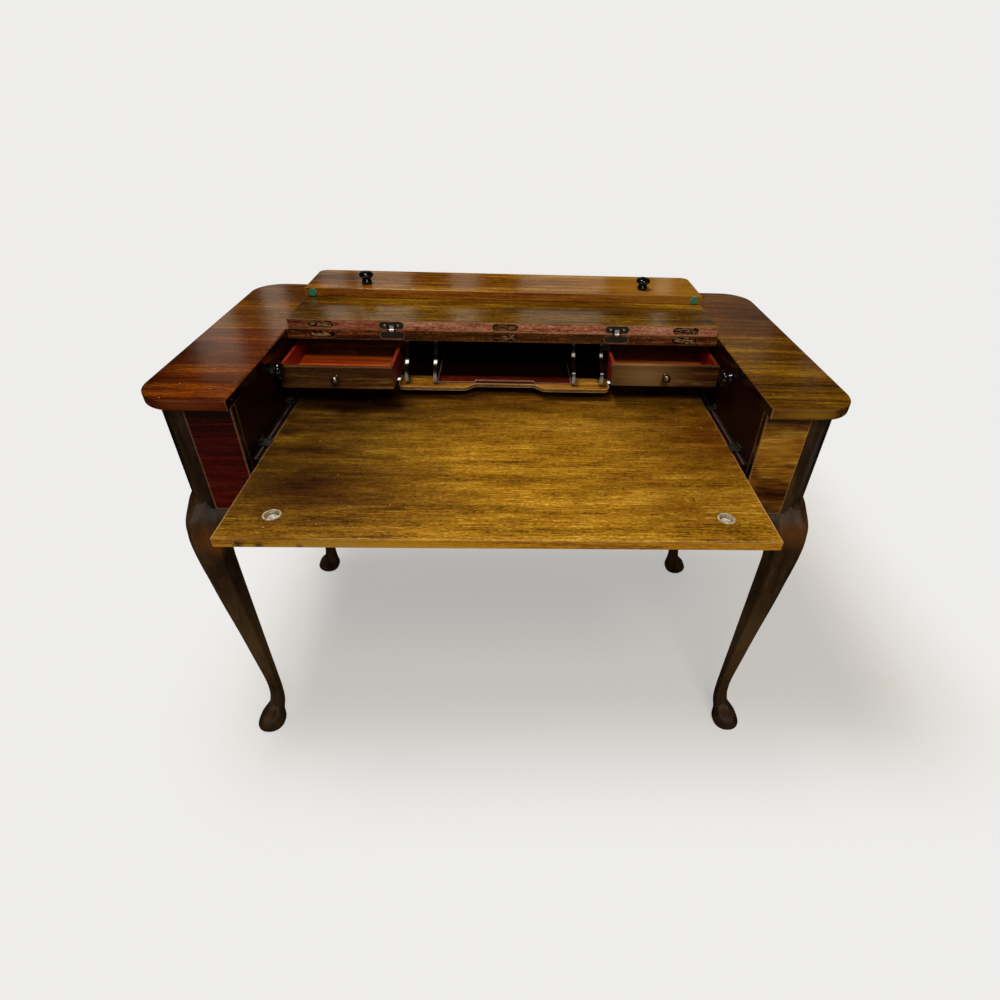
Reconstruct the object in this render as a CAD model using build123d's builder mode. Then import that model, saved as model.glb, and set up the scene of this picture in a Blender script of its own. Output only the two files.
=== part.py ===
"""A spinet writing desk on four cabriole legs, opened for writing.

Millimetres. X runs along the desk, Y from the sitter towards the back, Z up from the floor. The lid lies
folded back on the rear of the top with its flap folded on it, the writing board is pulled out and both small
drawers stand partly open.
"""

import os

from build123d import *

# The top: one full-width rear board and two wings glued to its front edge
top_width = 1070
top_depth = 556
desk_height = 815
top_thickness = 18
wing_depth = 286
wing_width = 139
top_corner_radius = 58
top_edge_radius = 3

# The lid, hinged to the rear board, and the flap hinged under the lid
lid_side_gap = 2
fold_gap = 0.4
joint_gap = 1
lid_edge_radius = 1.5
flap_depth = 126.5
flap_thickness = 17
flap_corner_radius = 16
felt_radius = 7.2
felt_thickness = 2.5
felt_inset = 15

# The case: corner posts, panels and the walls of the two side blocks
case_height = 205
case_setback = 14
post_size = 52
post_flat = 1
panel_thickness = 16
panel_edge_radius = 0.8
inner_wall_thickness = 14
wall_setback = 2
block_floor_thickness = 10
front_rail_thickness = 20
flap_rest_gap = 0.3

# Cabriole legs: at each height, how far the inner sides, the inner ends of the outer faces and the outer
# corner stand out from the inner corner of the post, and how the corners are rounded
collar_rise = 15
collar_corner = 50
collar_round = 46
seam_inner = 0.6
seam_round = 1
lip_face = 51
lip_corner = 60
lip_round = 30
shoulder_drop = 10
shoulder_face = 54
shoulder_corner = 61
shoulder_round = 28
brow_drop = 28
brow_inner = 2.5
brow_face = 58.5
brow_corner = 62.5
brow_round = 20
brow_inner_round = 3
knee_drop = 66
knee_inner = 8.5
knee_face = 62.3
knee_corner = 62.8
knee_round = 14
knee_inner_round = 8
calf_drop = 135
calf_inner = 14.4
calf_corner = 59.1
calf_round = 10.7
calf_inner_round = 5
shin_height = 380
shin_inner = 14
shin_corner = 52.3
shin_round = 9.2
shin_inner_round = 4.6
low_shin_height = 240
low_shin_inner = 13.4
low_shin_corner = 41.6
low_shin_round = 6.8
low_shin_inner_round = 4
ankle_height = 105
ankle_inner = 12.6
ankle_corner = 34.2
ankle_round = 5.2
ankle_inner_round = 3.6
heel_height = 62
heel_inner = 12.5
heel_corner = 40.5
heel_round = 8
instep_height = 32
instep_inner = 14.5
instep_corner = 61.5
instep_round = 21
pad_height = 14
pad_inner = 14
pad_corner = 71
pad_round = 26
sole_inner = 18.5
sole_corner = 66.5
sole_round = 22
foot_step = 13
shank_step = 62
knee_step = 15

# The ears that carry each knee on under the panels: how far inside the leg an ear starts and how far beyond
# the post it ends, and at its root, middle and tip how far it hangs down, swells out and stands out below
ear_root = 18
ear_reach = 42
ear_root_drop = 66
ear_root_swell = 6.6
ear_root_foot = 9.6
ear_middle_drop = 30
ear_middle_swell = 4.2
ear_middle_foot = 3.4
ear_tip_drop = 14
ear_tip_swell = 2
ear_tip_foot = 0.5

# The writing board, its guides and what stops and holds it
board_wall_gap = 15
board_depth = 490
board_thickness = 15
board_drop = 117
board_reach = 163
board_edge_radius = 1.5
board_flap_gap = 1.8
running_gap = 0.3
guide_side_gap = 1.5
guide_ledge_width = 13
guide_ledge_thickness = 12
guide_front_gap = 2.5
guide_lip_drop = 2
strip_inset = 6
strip_width = 2.5
strip_height = 1.5
clip_length = 24
clip_overlap = 2
clip_thickness = 1.5
clip_height = 8
clip_gap = 0.6
clip_first = 80
clip_second = 227
screw_radius = 2.2
screw_head = 1.6
screw_rise = 4.6
batten_depth = 18
batten_thickness = 12
stop_block_length = 30
stop_block_width = 15
stop_gap = 0.4

# Flush finger cups in the writing board
cup_side_inset = 64
cup_inset = 51
cup_rim_radius = 12.5
cup_rim_height = 0.8
cup_body_radius = 11.4
cup_hollow_radius = 10.2
cup_depth = 6
cup_floor = 1
cup_hole_gap = 0.1

# Turned black knobs: two on the flap, two on the inner walls that carry the shut lid
knob_base_radius = 10
knob_base_height = 5
knob_neck_radius = 7.8
knob_neck_height = 9.5
knob_head_radius = 14
knob_head_height = 15.5
knob_length = 24
flap_knob_end_inset = 115
flap_knob_inset = 35
lid_rest_gap = 0.3
lid_rest_clearance = 1.2

# The gallery: a shaped floor, four dividers and a pen tray between them
gallery_clear = 75
gallery_floor_thickness = 6.5
gallery_floor_setback = 248
gallery_floor_end = 13
gallery_floor_round = 12
recess_width = 112
recess_slope = 17
recess_depth = 17
recess_round = 9
divider_thickness = 6
divider_setback = 8
divider_nose_height = 30
divider_nose_depth = 7
divider_brow_depth = 45
divider_hollow_depth = 32
divider_hollow_rise = 15
slot_width = 47
gallery_back_thickness = 8
tray_thickness = 3
tray_depth = 150
tray_lip_width = 4
tray_lip_height = 6
tray_side_gap = 0.3
tray_lip_setback = 1.5

# Two small drawers beside the gallery
drawer_width = 196
drawer_height = 41
drawer_length = 225
drawer_front_thickness = 9
drawer_side_thickness = 5
drawer_bottom_thickness = 5
drawer_bottom_rise = 3
drawer_side_drop = 1
drawer_top_gap = 17
drawer_wall_gap = 5
drawer_setback = 4
drawer_edge_radius = 1
left_drawer_pull = 90
right_drawer_pull = 60
shelf_thickness = 8
shelf_setback = 2
guide_strip_height = 10
divider_guide_width = 11
kicker_depth = 20
kicker_gap = 1
drawer_knob_radius = 7.6
drawer_knob_stem = 3.6
drawer_knob_base = 5.5
drawer_knob_length = 18.5

# Edge hinges between the rear board and the lid, with the empty mortises of older ones
hinge_spacing = 414
hinge_plate_length = 44
hinge_plate_height = 13
hinge_plate_thickness = 3
knuckle_radius = 3
knuckle_gap = 0.4
tongue_width = 8
ear_width = 4
side_gap = 0.3
pin_radius = 1.2
pin_gap = 0.05
mortise_end_inset = 59
mortise_length = 48
mortise_height = 13
mortise_depth = 3

# Butt hinges between the lid and the flap
flap_hinge_spacing = 250
leaf_length = 50
lid_leaf_depth = 20
flap_leaf_depth = 14
leaf_thickness = 1.5
flap_knuckle_radius = 2.5
flap_knuckle_length = 16
flap_pin_radius = 1

# Places that follow from the sizes; the origin is on the floor under the middle of the opened desk
front = (board_reach - 2 * wing_depth) / 2
rear = front + top_depth
hinge_y = front + wing_depth
rear_board_front = hinge_y + joint_gap / 2
top_underside = desk_height - top_thickness
half_well = top_width / 2 - wing_width
wall_x = half_well + wall_setback
wall_back_x = wall_x + inner_wall_thickness
case_bottom = desk_height - case_height
panel_front = front + case_setback
panel_back = panel_front + panel_thickness
back_panel_rear = rear - case_setback
back_panel_front = back_panel_rear - panel_thickness
post_outer_x = top_width / 2 - case_setback
post_inner_x = post_outer_x - post_size
side_panel_x = top_width / 2 - case_setback
post_front_inner_y = front + case_setback + post_size
post_rear_inner_y = rear - case_setback - post_size

lid_width = 2 * (half_well - lid_side_gap)
lid_low = desk_height + fold_gap
lid_high = lid_low + top_thickness
lid_rear = hinge_y + wing_depth
lid_axis_z = desk_height + fold_gap / 2
flap_axis_y = lid_rear - case_setback - flap_thickness - fold_gap / 2
flap_axis_z = lid_high + fold_gap / 2
flap_low = lid_high + fold_gap
flap_high = flap_low + flap_thickness
flap_hinge_edge = flap_axis_y - fold_gap / 2
flap_free_edge = flap_hinge_edge - flap_depth
flap_middle_z = (flap_low + flap_high) / 2
shut_flap_foot = top_underside - fold_gap - flap_depth
shut_flap_edge_y = 2 * hinge_y - flap_free_edge
front_rail_top = shut_flap_foot - felt_thickness - flap_rest_gap

board_top = desk_height - board_drop
board_width = 2 * (wall_x - board_wall_gap)
board_low = board_top - board_thickness
board_front = front - board_reach
board_rear = board_front + board_depth
board_travel = board_reach + case_setback + flap_thickness + board_flap_gap
guide_x = board_width / 2 + guide_side_gap
ledge_x = board_width / 2 - guide_ledge_width
guide_front = panel_front + flap_thickness + guide_front_gap
ledge_top = board_low - running_gap
ledge_low = ledge_top - guide_ledge_thickness
guide_top = board_top - guide_lip_drop

drawer_top = top_underside - drawer_top_gap
drawer_low = drawer_top - drawer_height
drawer_outer_x = wall_x - drawer_wall_gap
drawer_inner_x = drawer_outer_x - drawer_width
drawer_shut_front = hinge_y + drawer_setback
shelf_top = drawer_low - running_gap
shelf_front = hinge_y + drawer_setback + shelf_setback
divider_outer_x = drawer_inner_x - divider_guide_width
inner_divider_x = divider_outer_x - divider_thickness - slot_width
gallery_floor_top = top_underside - gallery_clear
gallery_floor_front = front + gallery_floor_setback
gallery_back_front = back_panel_front - gallery_back_thickness
lid_rest_z = top_underside - lid_rest_gap - knob_head_radius
lid_rest_y = shut_flap_edge_y + felt_thickness + knob_head_radius + lid_rest_clearance

sides = {"left": -1, "right": 1}
hinge_places = [-hinge_spacing / 2, hinge_spacing / 2]
mortise_places = [mortise_end_inset - lid_width / 2, 0, lid_width / 2 - mortise_end_inset]
flap_hinge_places = [-flap_hinge_spacing, 0, flap_hinge_spacing]
cup_places = [cup_side_inset - board_width / 2, board_width / 2 - cup_side_inset]


def keep(piece, name):
    """Name a finished piece and write it out."""
    piece.part.label = name
    export_step(piece.part, f"parts/{name}.step")


def block(x, y, low, height, mode=Mode.ADD):
    """A squared block between two limits in X and in Y, added to or taken from the builder that is open."""
    with BuildSketch(Plane.XY.offset(low)) as outline:
        with Locations(((x[0] + x[1]) / 2, (y[0] + y[1]) / 2)):
            Rectangle(abs(x[1] - x[0]), abs(y[1] - y[0]))
    extrude(outline.sketch, amount=height, mode=mode)


def rod_along_x(x, y, z, radius, mode=Mode.ADD):
    """A round bar along X between two limits, added to or taken from the builder that is open."""
    with BuildSketch(Plane.YZ.offset(x[0])) as outline:
        with Locations((y, z)):
            Circle(radius)
    extrude(outline.sketch, amount=x[1] - x[0], mode=mode)


def edge_slot(x, z, length, height, depth, mode):
    """An oblong with round ends, from the hinged edges towards the back, in the builder that is open."""
    with BuildSketch(Plane((x, rear_board_front, z), x_dir=(1, 0, 0), z_dir=(0, 1, 0))) as outline:
        SlotOverall(length, height)
    extrude(outline.sketch, amount=depth, mode=mode)


def plank(x, y, z, edge_radius=0):
    """A plain board between two limits in each direction, with its edges eased where asked."""
    with BuildPart() as piece:
        block(x, y, z[0], z[1] - z[0])
        if edge_radius:
            fillet(piece.edges(), radius=edge_radius)
    return piece


def keep_plank(name, x, y, z, edge_radius=0):
    """Make a plain board, name it and write it out."""
    keep(plank(x, y, z, edge_radius), name)


def turned_knob(base, out, radial):
    """The black mushroom knob: a collar, a narrow neck and a domed head, turned about the direction out."""
    with BuildPart() as piece:
        profile = Plane(origin=base, x_dir=radial, z_dir=Vector(radial).cross(Vector(out)))
        with BuildSketch(profile):
            with BuildLine():
                Polyline(
                    (0, knob_length),
                    (0, 0),
                    (knob_base_radius, 0),
                    (knob_base_radius, knob_base_height),
                    (knob_neck_radius, knob_neck_height),
                    (knob_head_radius, knob_head_height),
                )
                Spline(
                    (knob_head_radius, knob_head_height),
                    (0, knob_length),
                    tangents=((0, 1), (-1, 0)),
                )
            make_face()
        revolve(axis=Axis(base, out))
    return piece


def drawer_knob(base):
    """The small ball knob on a drawer front, turned about a line that points at the sitter."""
    ball_middle = drawer_knob_length - drawer_knob_radius
    stem_end = ball_middle - (drawer_knob_radius**2 - drawer_knob_stem**2) ** 0.5
    with BuildPart() as piece:
        with BuildSketch(Plane(origin=base, x_dir=(1, 0, 0), z_dir=(0, 0, -1))):
            with BuildLine():
                Polyline(
                    (0, drawer_knob_length),
                    (0, 0),
                    (drawer_knob_base, 0),
                    (drawer_knob_stem, stem_end),
                )
                ThreePointArc(
                    (drawer_knob_stem, stem_end),
                    (drawer_knob_radius, ball_middle),
                    (0, drawer_knob_length),
                )
            make_face()
        revolve(axis=Axis(base, (0, -1, 0)))
    return piece


def leg_outline(side, end, height, inner, face, corner, corner_round, inner_round):
    """A level outline of a leg, set out from the inner corner of its post towards the corner of the desk."""
    x = side * post_inner_x
    y = post_front_inner_y if end < 0 else post_rear_inner_y
    spots = [(corner, corner), (inner, face), (inner, inner), (face, inner)]
    with BuildSketch(Plane.XY.offset(height)) as outline:
        with BuildLine():
            FilletPolyline(
                *[(x + side * out_x, y + end * out_y) for out_x, out_y in spots],
                radius=[corner_round, inner_round, inner_round, inner_round],
                close=True,
            )
        make_face()
    return outline.sketch


def ear_section(side, end, along_front, out, drop, swell, foot):
    """An upright section of an ear of the knee, under the front or back panel or else under the side panel."""
    corner_x = side * post_inner_x
    corner_y = post_front_inner_y if end < 0 else post_rear_inner_y
    if along_front:
        plane = Plane(origin=(corner_x + side * out, 0, 0), x_dir=(0, 1, 0), z_dir=(1, 0, 0))
        start, way = corner_y, end
    else:
        plane = Plane(origin=(0, corner_y + end * out, 0), x_dir=(1, 0, 0), z_dir=(0, -1, 0))
        start, way = corner_x, side
    back = start + way * (post_size - panel_thickness)
    lip = start + way * lip_face
    with BuildSketch(plane) as outline:
        with BuildLine():
            ThreePointArc(
                (lip, case_bottom),
                (lip + way * swell, case_bottom - drop / 2),
                (lip + way * foot, case_bottom - drop),
            )
            Polyline(
                (lip + way * foot, case_bottom - drop),
                (back, case_bottom - drop),
                (back, case_bottom),
                (lip, case_bottom),
            )
        make_face()
    return outline.sketch


def slope(rows, place, column):
    """The slope, at one row, of a smooth curve through a column of the leg's rows."""
    secants = [
        (above[column] - below[column]) / (above[0] - below[0])
        for below, above in zip(rows[max(place - 1, 0) :], rows[max(place - 1, 0) + 1 : place + 2])
    ]
    if len(secants) == 1:
        return secants[0]
    if secants[0] * secants[1] <= 0:
        return 0
    return 2 * secants[0] * secants[1] / (secants[0] + secants[1])


def leg_values(rows, height):
    """The values of the leg's outline at any height, on smooth curves through the rows set out for it."""
    place = max(index for index in range(len(rows) - 1) if rows[index][0] <= height)
    step = rows[place + 1][0] - rows[place][0]
    up = (height - rows[place][0]) / step
    values = []
    for column in range(1, len(rows[0])):
        start, end = rows[place][column], rows[place + 1][column]
        leaving, arriving = slope(rows, place, column), slope(rows, place + 1, column)
        level = start * (1 + 2 * up) * (1 - up) ** 2 + end * up**2 * (3 - 2 * up)
        values.append(level + step * up * (1 - up) * (leaving * (1 - up) - arriving * up))
    return values


def cabriole_leg(side, end):
    """One leg: a quarter-round post up to the top, below it a knee with two ears, an ankle and a pad foot."""
    calf_height = case_bottom - calf_drop
    collar_height = case_bottom + collar_rise
    rows = [
        (0, sole_inner, sole_corner, sole_corner, sole_round, sole_round),
        (pad_height, pad_inner, pad_corner, pad_corner, pad_round, pad_round),
        (instep_height, instep_inner, instep_corner, instep_corner, instep_round, instep_round),
        (heel_height, heel_inner, heel_corner, heel_corner, heel_round, heel_round),
        (ankle_height, ankle_inner, ankle_corner, ankle_corner, ankle_round, ankle_inner_round),
        (low_shin_height, low_shin_inner, low_shin_corner, low_shin_corner, low_shin_round, low_shin_inner_round),
        (shin_height, shin_inner, shin_corner, shin_corner, shin_round, shin_inner_round),
        (calf_height, calf_inner, calf_corner, calf_corner, calf_round, calf_inner_round),
        (case_bottom - knee_drop, knee_inner, knee_face, knee_corner, knee_round, knee_inner_round),
        (case_bottom - brow_drop, brow_inner, brow_face, brow_corner, brow_round, brow_inner_round),
        (case_bottom - shoulder_drop, seam_inner, shoulder_face, shoulder_corner, shoulder_round, seam_round),
        (case_bottom, seam_inner, lip_face, lip_corner, lip_round, seam_round),
        (collar_height, seam_inner, collar_corner, collar_corner, collar_round, seam_round),
    ]
    stretches = [
        (0, ankle_height, foot_step),
        (ankle_height, calf_height, shank_step),
        (calf_height, collar_height, knee_step),
    ]
    ears = [
        (ear_root, ear_root_drop, ear_root_swell, ear_root_foot),
        ((ear_root - ear_reach) / 2, ear_middle_drop, ear_middle_swell, ear_middle_foot),
        (-ear_reach, ear_tip_drop, ear_tip_swell, ear_tip_foot),
    ]
    post = leg_outline(side, end, case_bottom, 0, post_size, post_size, post_size - post_flat, 0)
    with BuildPart() as piece:
        extrude(post, amount=top_underside - case_bottom)
        for low, high, step in stretches:
            count = max(1, round((high - low) / step))
            heights = [low + (high - low) * place / count for place in range(count + 1)]
            loft(sections=[leg_outline(side, end, height, *leg_values(rows, height)) for height in heights])
        for along_front in (True, False):
            loft(sections=[ear_section(side, end, along_front, *values) for values in ears])
    return piece


def wing_top(side):
    """A wing of the top, with its outer front corner rounded."""
    with BuildPart() as piece:
        with BuildSketch(Plane.XY.offset(top_underside)):
            with BuildLine():
                FilletPolyline(
                    (side * top_width / 2, front),
                    (side * half_well, front),
                    (side * half_well, rear_board_front),
                    (side * top_width / 2, rear_board_front),
                    radius=[top_corner_radius, 0, 0, 0],
                    close=True,
                )
            make_face()
        extrude(amount=top_thickness)
        rims = piece.edges().group_by(Axis.Z)
        fillet(rims[-1].sort_by(Axis.Y)[:-1] + rims[0].sort_by(Axis.Y)[:-1], radius=top_edge_radius)
    return piece


def rear_top_board():
    """The full-width rear board, with round rear corners, hinge seats and old mortises in its front edge."""
    seat_z = desk_height - top_thickness / 2
    with BuildPart() as piece:
        with BuildSketch(Plane.XY.offset(top_underside)):
            with BuildLine():
                FilletPolyline(
                    (top_width / 2, rear),
                    (-top_width / 2, rear),
                    (-top_width / 2, rear_board_front),
                    (top_width / 2, rear_board_front),
                    radius=[top_corner_radius, top_corner_radius, 0, 0],
                    close=True,
                )
            make_face()
        extrude(amount=top_thickness)
        rims = piece.edges().group_by(Axis.Z)
        fillet(rims[-1].sort_by(Axis.Y)[1:] + rims[0].sort_by(Axis.Y)[1:], radius=top_edge_radius)
        cut_edge_seats(seat_z, desk_height)
    return piece


def cut_edge_seats(seat_z, arris_z):
    """Cut hinge seats, knuckle notches and old mortises into a hinged edge, in the builder that is open."""
    half = tongue_width / 2 + ear_width + 2 * side_gap
    notch = (rear_board_front, rear_board_front + hinge_plate_thickness + knuckle_gap)
    for x in hinge_places:
        edge_slot(x, seat_z, hinge_plate_length, hinge_plate_height, hinge_plate_thickness, Mode.SUBTRACT)
        block((x - half, x + half), notch, seat_z, arris_z - seat_z, Mode.SUBTRACT)
    for x in mortise_places:
        edge_slot(x, seat_z, mortise_length, mortise_height, mortise_depth, Mode.SUBTRACT)


def hinge_plates(seat_z, arris_z):
    """The black oblong plates of both hinges in one edge, each slotted towards the hinge line."""
    half = tongue_width / 2 + ear_width + side_gap
    depth = (rear_board_front, rear_board_front + hinge_plate_thickness)
    with BuildPart() as piece:
        for x in hinge_places:
            edge_slot(x, seat_z, hinge_plate_length, hinge_plate_height, hinge_plate_thickness, Mode.ADD)
            block((x - half, x + half), depth, seat_z, arris_z - seat_z, Mode.SUBTRACT)
    return piece


def top_hinge_ears():
    """The fixed half of the hinge knuckles: a strap, two ears and the pin of each hinge."""
    half_tongue = tongue_width / 2
    outer = half_tongue + side_gap + ear_width
    strap_top = lid_axis_z - knuckle_radius - knuckle_gap
    back = rear_board_front + hinge_plate_thickness
    seat_z = desk_height - top_thickness / 2
    with BuildPart() as piece:
        for x in hinge_places:
            block((x - outer, x + outer), (rear_board_front, back), seat_z, strap_top - seat_z)
            for ear in (-outer, half_tongue + side_gap):
                ends = (x + ear, x + ear + ear_width)
                block(ends, (rear_board_front, back), strap_top, lid_axis_z - strap_top)
                rod_along_x(ends, hinge_y, lid_axis_z, knuckle_radius)
            rod_along_x((x - outer, x + outer), hinge_y, lid_axis_z, pin_radius)
    return piece


def lid_hinge_tongues():
    """The moving half of the hinge knuckles: one tongue for each hinge, bored for the pin."""
    half = tongue_width / 2
    back = rear_board_front + hinge_plate_thickness
    seat_z = lid_low + top_thickness / 2
    with BuildPart() as piece:
        for x in hinge_places:
            block((x - half, x + half), (rear_board_front, back), lid_axis_z, seat_z - lid_axis_z)
            rod_along_x((x - half, x + half), hinge_y, lid_axis_z, knuckle_radius)
            rod_along_x((x - half, x + half), hinge_y, lid_axis_z, pin_radius + pin_gap, Mode.SUBTRACT)
    return piece


def cut_knuckle_groove(ends):
    """Clear the round space in which a butt hinge's knuckles lie, in the builder that is open."""
    length = (ends[0] - side_gap, ends[1] + side_gap)
    rod_along_x(length, flap_axis_y, flap_axis_z, flap_knuckle_radius + knuckle_gap, Mode.SUBTRACT)


def lid_board():
    """The lid, lying upside down on the rear board, with seats for both sets of hinges."""
    with BuildPart() as piece:
        block((-lid_width / 2, lid_width / 2), (rear_board_front, lid_rear), lid_low, top_thickness)
        rims = piece.edges().group_by(Axis.Z)
        fillet(rims[-1].sort_by(Axis.Y)[1:] + rims[0].sort_by(Axis.Y)[1:], radius=lid_edge_radius)
        cut_edge_seats(lid_low + top_thickness / 2, lid_low)
        for x in flap_hinge_places:
            ends = (x - leaf_length / 2, x + leaf_length / 2)
            seat = (flap_axis_y - lid_leaf_depth, flap_axis_y)
            block(ends, seat, lid_high, -leaf_thickness, Mode.SUBTRACT)
            cut_knuckle_groove(ends)
    return piece


def flap_board():
    """The flap, folded on the lid, with its hinge-edge corners rounded."""
    half = lid_width / 2
    with BuildPart() as piece:
        with BuildSketch(Plane.XY.offset(flap_low)):
            with BuildLine():
                FilletPolyline(
                    (half, flap_hinge_edge),
                    (-half, flap_hinge_edge),
                    (-half, flap_free_edge),
                    (half, flap_free_edge),
                    radius=[flap_corner_radius, flap_corner_radius, 0, 0],
                    close=True,
                )
            make_face()
        extrude(amount=flap_thickness)
        rims = piece.edges().group_by(Axis.Z)
        fillet(rims[-1] + rims[0], radius=lid_edge_radius)
        for x in flap_hinge_places:
            ends = (x - leaf_length / 2, x + leaf_length / 2)
            seat = (flap_axis_y - flap_leaf_depth, flap_axis_y)
            block(ends, seat, flap_low, leaf_thickness, Mode.SUBTRACT)
            cut_knuckle_groove(ends)
    return piece


def lid_leaves():
    """The lid's half of each butt hinge: a leaf let into the lid, two knuckles and the pin."""
    with BuildPart() as piece:
        for x in flap_hinge_places:
            low, high = x - leaf_length / 2, x + leaf_length / 2
            gap = flap_knuckle_length / 2 + side_gap
            clear_y = flap_axis_y - flap_knuckle_radius - knuckle_gap
            block((low, high), (flap_axis_y - lid_leaf_depth, clear_y), lid_high, -leaf_thickness)
            for ends in ((low, x - gap), (x + gap, high)):
                block(ends, (clear_y, flap_axis_y), lid_high, -leaf_thickness)
                rod_along_x(ends, flap_axis_y, flap_axis_z, flap_knuckle_radius)
            rod_along_x((low, high), flap_axis_y, flap_axis_z, flap_pin_radius)
    return piece


def flap_leaves():
    """The flap's half of each butt hinge: a leaf let into the flap and the middle knuckle."""
    with BuildPart() as piece:
        for x in flap_hinge_places:
            middle = (x - flap_knuckle_length / 2, x + flap_knuckle_length / 2)
            clear_y = flap_axis_y - flap_knuckle_radius - knuckle_gap
            ends = (x - leaf_length / 2, x + leaf_length / 2)
            block(ends, (flap_axis_y - flap_leaf_depth, clear_y), flap_low, leaf_thickness)
            block(middle, (clear_y, flap_axis_y), flap_low, leaf_thickness)
            rod_along_x(middle, flap_axis_y, flap_axis_z, flap_knuckle_radius)
            rod_along_x(middle, flap_axis_y, flap_axis_z, flap_pin_radius + pin_gap, Mode.SUBTRACT)
    return piece


def felt_pads():
    """Two felt dots on the flap's free edge, which land on the front rail when the desk is shut."""
    with BuildPart() as piece:
        plane = Plane((0, flap_free_edge, flap_middle_z), x_dir=(1, 0, 0), z_dir=(0, -1, 0))
        with BuildSketch(plane):
            with Locations((-lid_width / 2 + felt_inset, 0), (lid_width / 2 - felt_inset, 0)):
                Circle(felt_radius)
        extrude(amount=felt_thickness)
    return piece


def block_floor(side):
    """The bottom of a side block, notched round both corner posts."""
    with BuildPart() as piece:
        floor_x = (side * wall_back_x, side * (side_panel_x - panel_thickness))
        block(floor_x, (panel_back, back_panel_front), case_bottom, block_floor_thickness)
        post_x = (side * post_inner_x, side * post_outer_x)
        block(post_x, (front, post_front_inner_y), case_bottom, block_floor_thickness, Mode.SUBTRACT)
        block(post_x, (post_rear_inner_y, rear), case_bottom, block_floor_thickness, Mode.SUBTRACT)
    return piece


def board_guide(side):
    """A rail on an inner wall: a ledge under the writing board and a lip beside its edge."""
    length = (guide_front, back_panel_front)
    with BuildPart() as piece:
        block((side * ledge_x, side * wall_x), length, ledge_low, guide_ledge_thickness)
        block((side * guide_x, side * wall_x), length, ledge_top, guide_top - ledge_top)
    return piece


def guide_strips():
    """A thin steel strip on the lip of each guide, level with the writing board."""
    strip_x = guide_x + strip_inset
    with BuildPart() as piece:
        for side in sides.values():
            limits = (side * strip_x, side * (strip_x + strip_width))
            block(limits, (guide_front, back_panel_front), guide_top, strip_height)
    return piece


def board_clips():
    """Four steel angles on the inner walls, which keep the pulled-out board from tipping."""
    reach = board_width / 2 - clip_overlap
    low = board_top + clip_gap
    with BuildPart() as piece:
        for side in sides.values():
            for place in (clip_first, clip_second):
                length = (front + place - clip_length / 2, front + place + clip_length / 2)
                block((side * reach, side * wall_x), length, low, clip_thickness)
                block((side * (wall_x - clip_thickness), side * wall_x), length, low, clip_height)
    return piece


def clip_screws():
    """The round-headed screw of each clip."""
    head_z = board_top + clip_gap + screw_rise
    face_x = wall_x - clip_thickness
    with BuildPart() as piece:
        for side in sides.values():
            for place in (clip_first, clip_second):
                start, end = side * face_x, side * (face_x - screw_head)
                rod_along_x((min(start, end), max(start, end)), front + place, head_z, screw_radius)
    return piece


def stop_blocks():
    """A block on the inner side of each guide ledge, where the board's batten stops."""
    stop_y = board_rear - batten_depth - stop_gap
    with BuildPart() as piece:
        for side in sides.values():
            limits = (side * (ledge_x - stop_block_width), side * ledge_x)
            block(limits, (stop_y - stop_block_length, stop_y), ledge_low, guide_ledge_thickness)
    return piece


def writing_board():
    """The sliding board, with a round seat for each finger cup."""
    with BuildPart() as piece:
        block((-board_width / 2, board_width / 2), (board_front, board_rear), board_low, board_thickness)
        fillet(piece.edges(), radius=board_edge_radius)
        with BuildSketch(Plane.XY.offset(board_top)):
            with Locations(*[(x, board_front + cup_inset) for x in cup_places]):
                Circle(cup_body_radius + cup_hole_gap)
        extrude(amount=-cup_depth - cup_hole_gap, mode=Mode.SUBTRACT)
    return piece


def finger_cups():
    """Two round metal cups let into the writing board, each with a raised rim."""
    with BuildPart() as piece:
        for x in cup_places:
            base = (x, board_front + cup_inset, board_top)
            with BuildSketch(Plane(base, x_dir=(1, 0, 0), z_dir=(0, -1, 0))):
                with BuildLine():
                    Polyline(
                        (0, -cup_depth),
                        (cup_body_radius, -cup_depth),
                        (cup_body_radius, 0),
                        (cup_rim_radius, 0),
                        (cup_rim_radius, cup_rim_height),
                        (cup_hollow_radius, cup_rim_height),
                        (cup_hollow_radius, cup_floor - cup_depth),
                        (0, cup_floor - cup_depth),
                        close=True,
                    )
                make_face()
            revolve(axis=Axis(base, (0, 0, 1)))
    return piece


def gallery_floor():
    """The floor of the pigeonholes, with a waved front edge that is set back in the middle."""
    end = divider_outer_x + gallery_floor_end
    inner = recess_width / 2
    outer = inner + recess_slope
    nose = gallery_floor_front
    with BuildPart() as piece:
        with BuildSketch(Plane.XY.offset(gallery_floor_top - gallery_floor_thickness)):
            with BuildLine():
                FilletPolyline(
                    (-end, gallery_back_front),
                    (-end, nose),
                    (-outer, nose),
                    (-inner, nose + recess_depth),
                    (inner, nose + recess_depth),
                    (outer, nose),
                    (end, nose),
                    (end, gallery_back_front),
                    radius=[0, gallery_floor_round] + 4 * [recess_round] + [gallery_floor_round, 0],
                    close=True,
                )
            make_face()
        extrude(amount=gallery_floor_thickness)
    return piece


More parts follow.
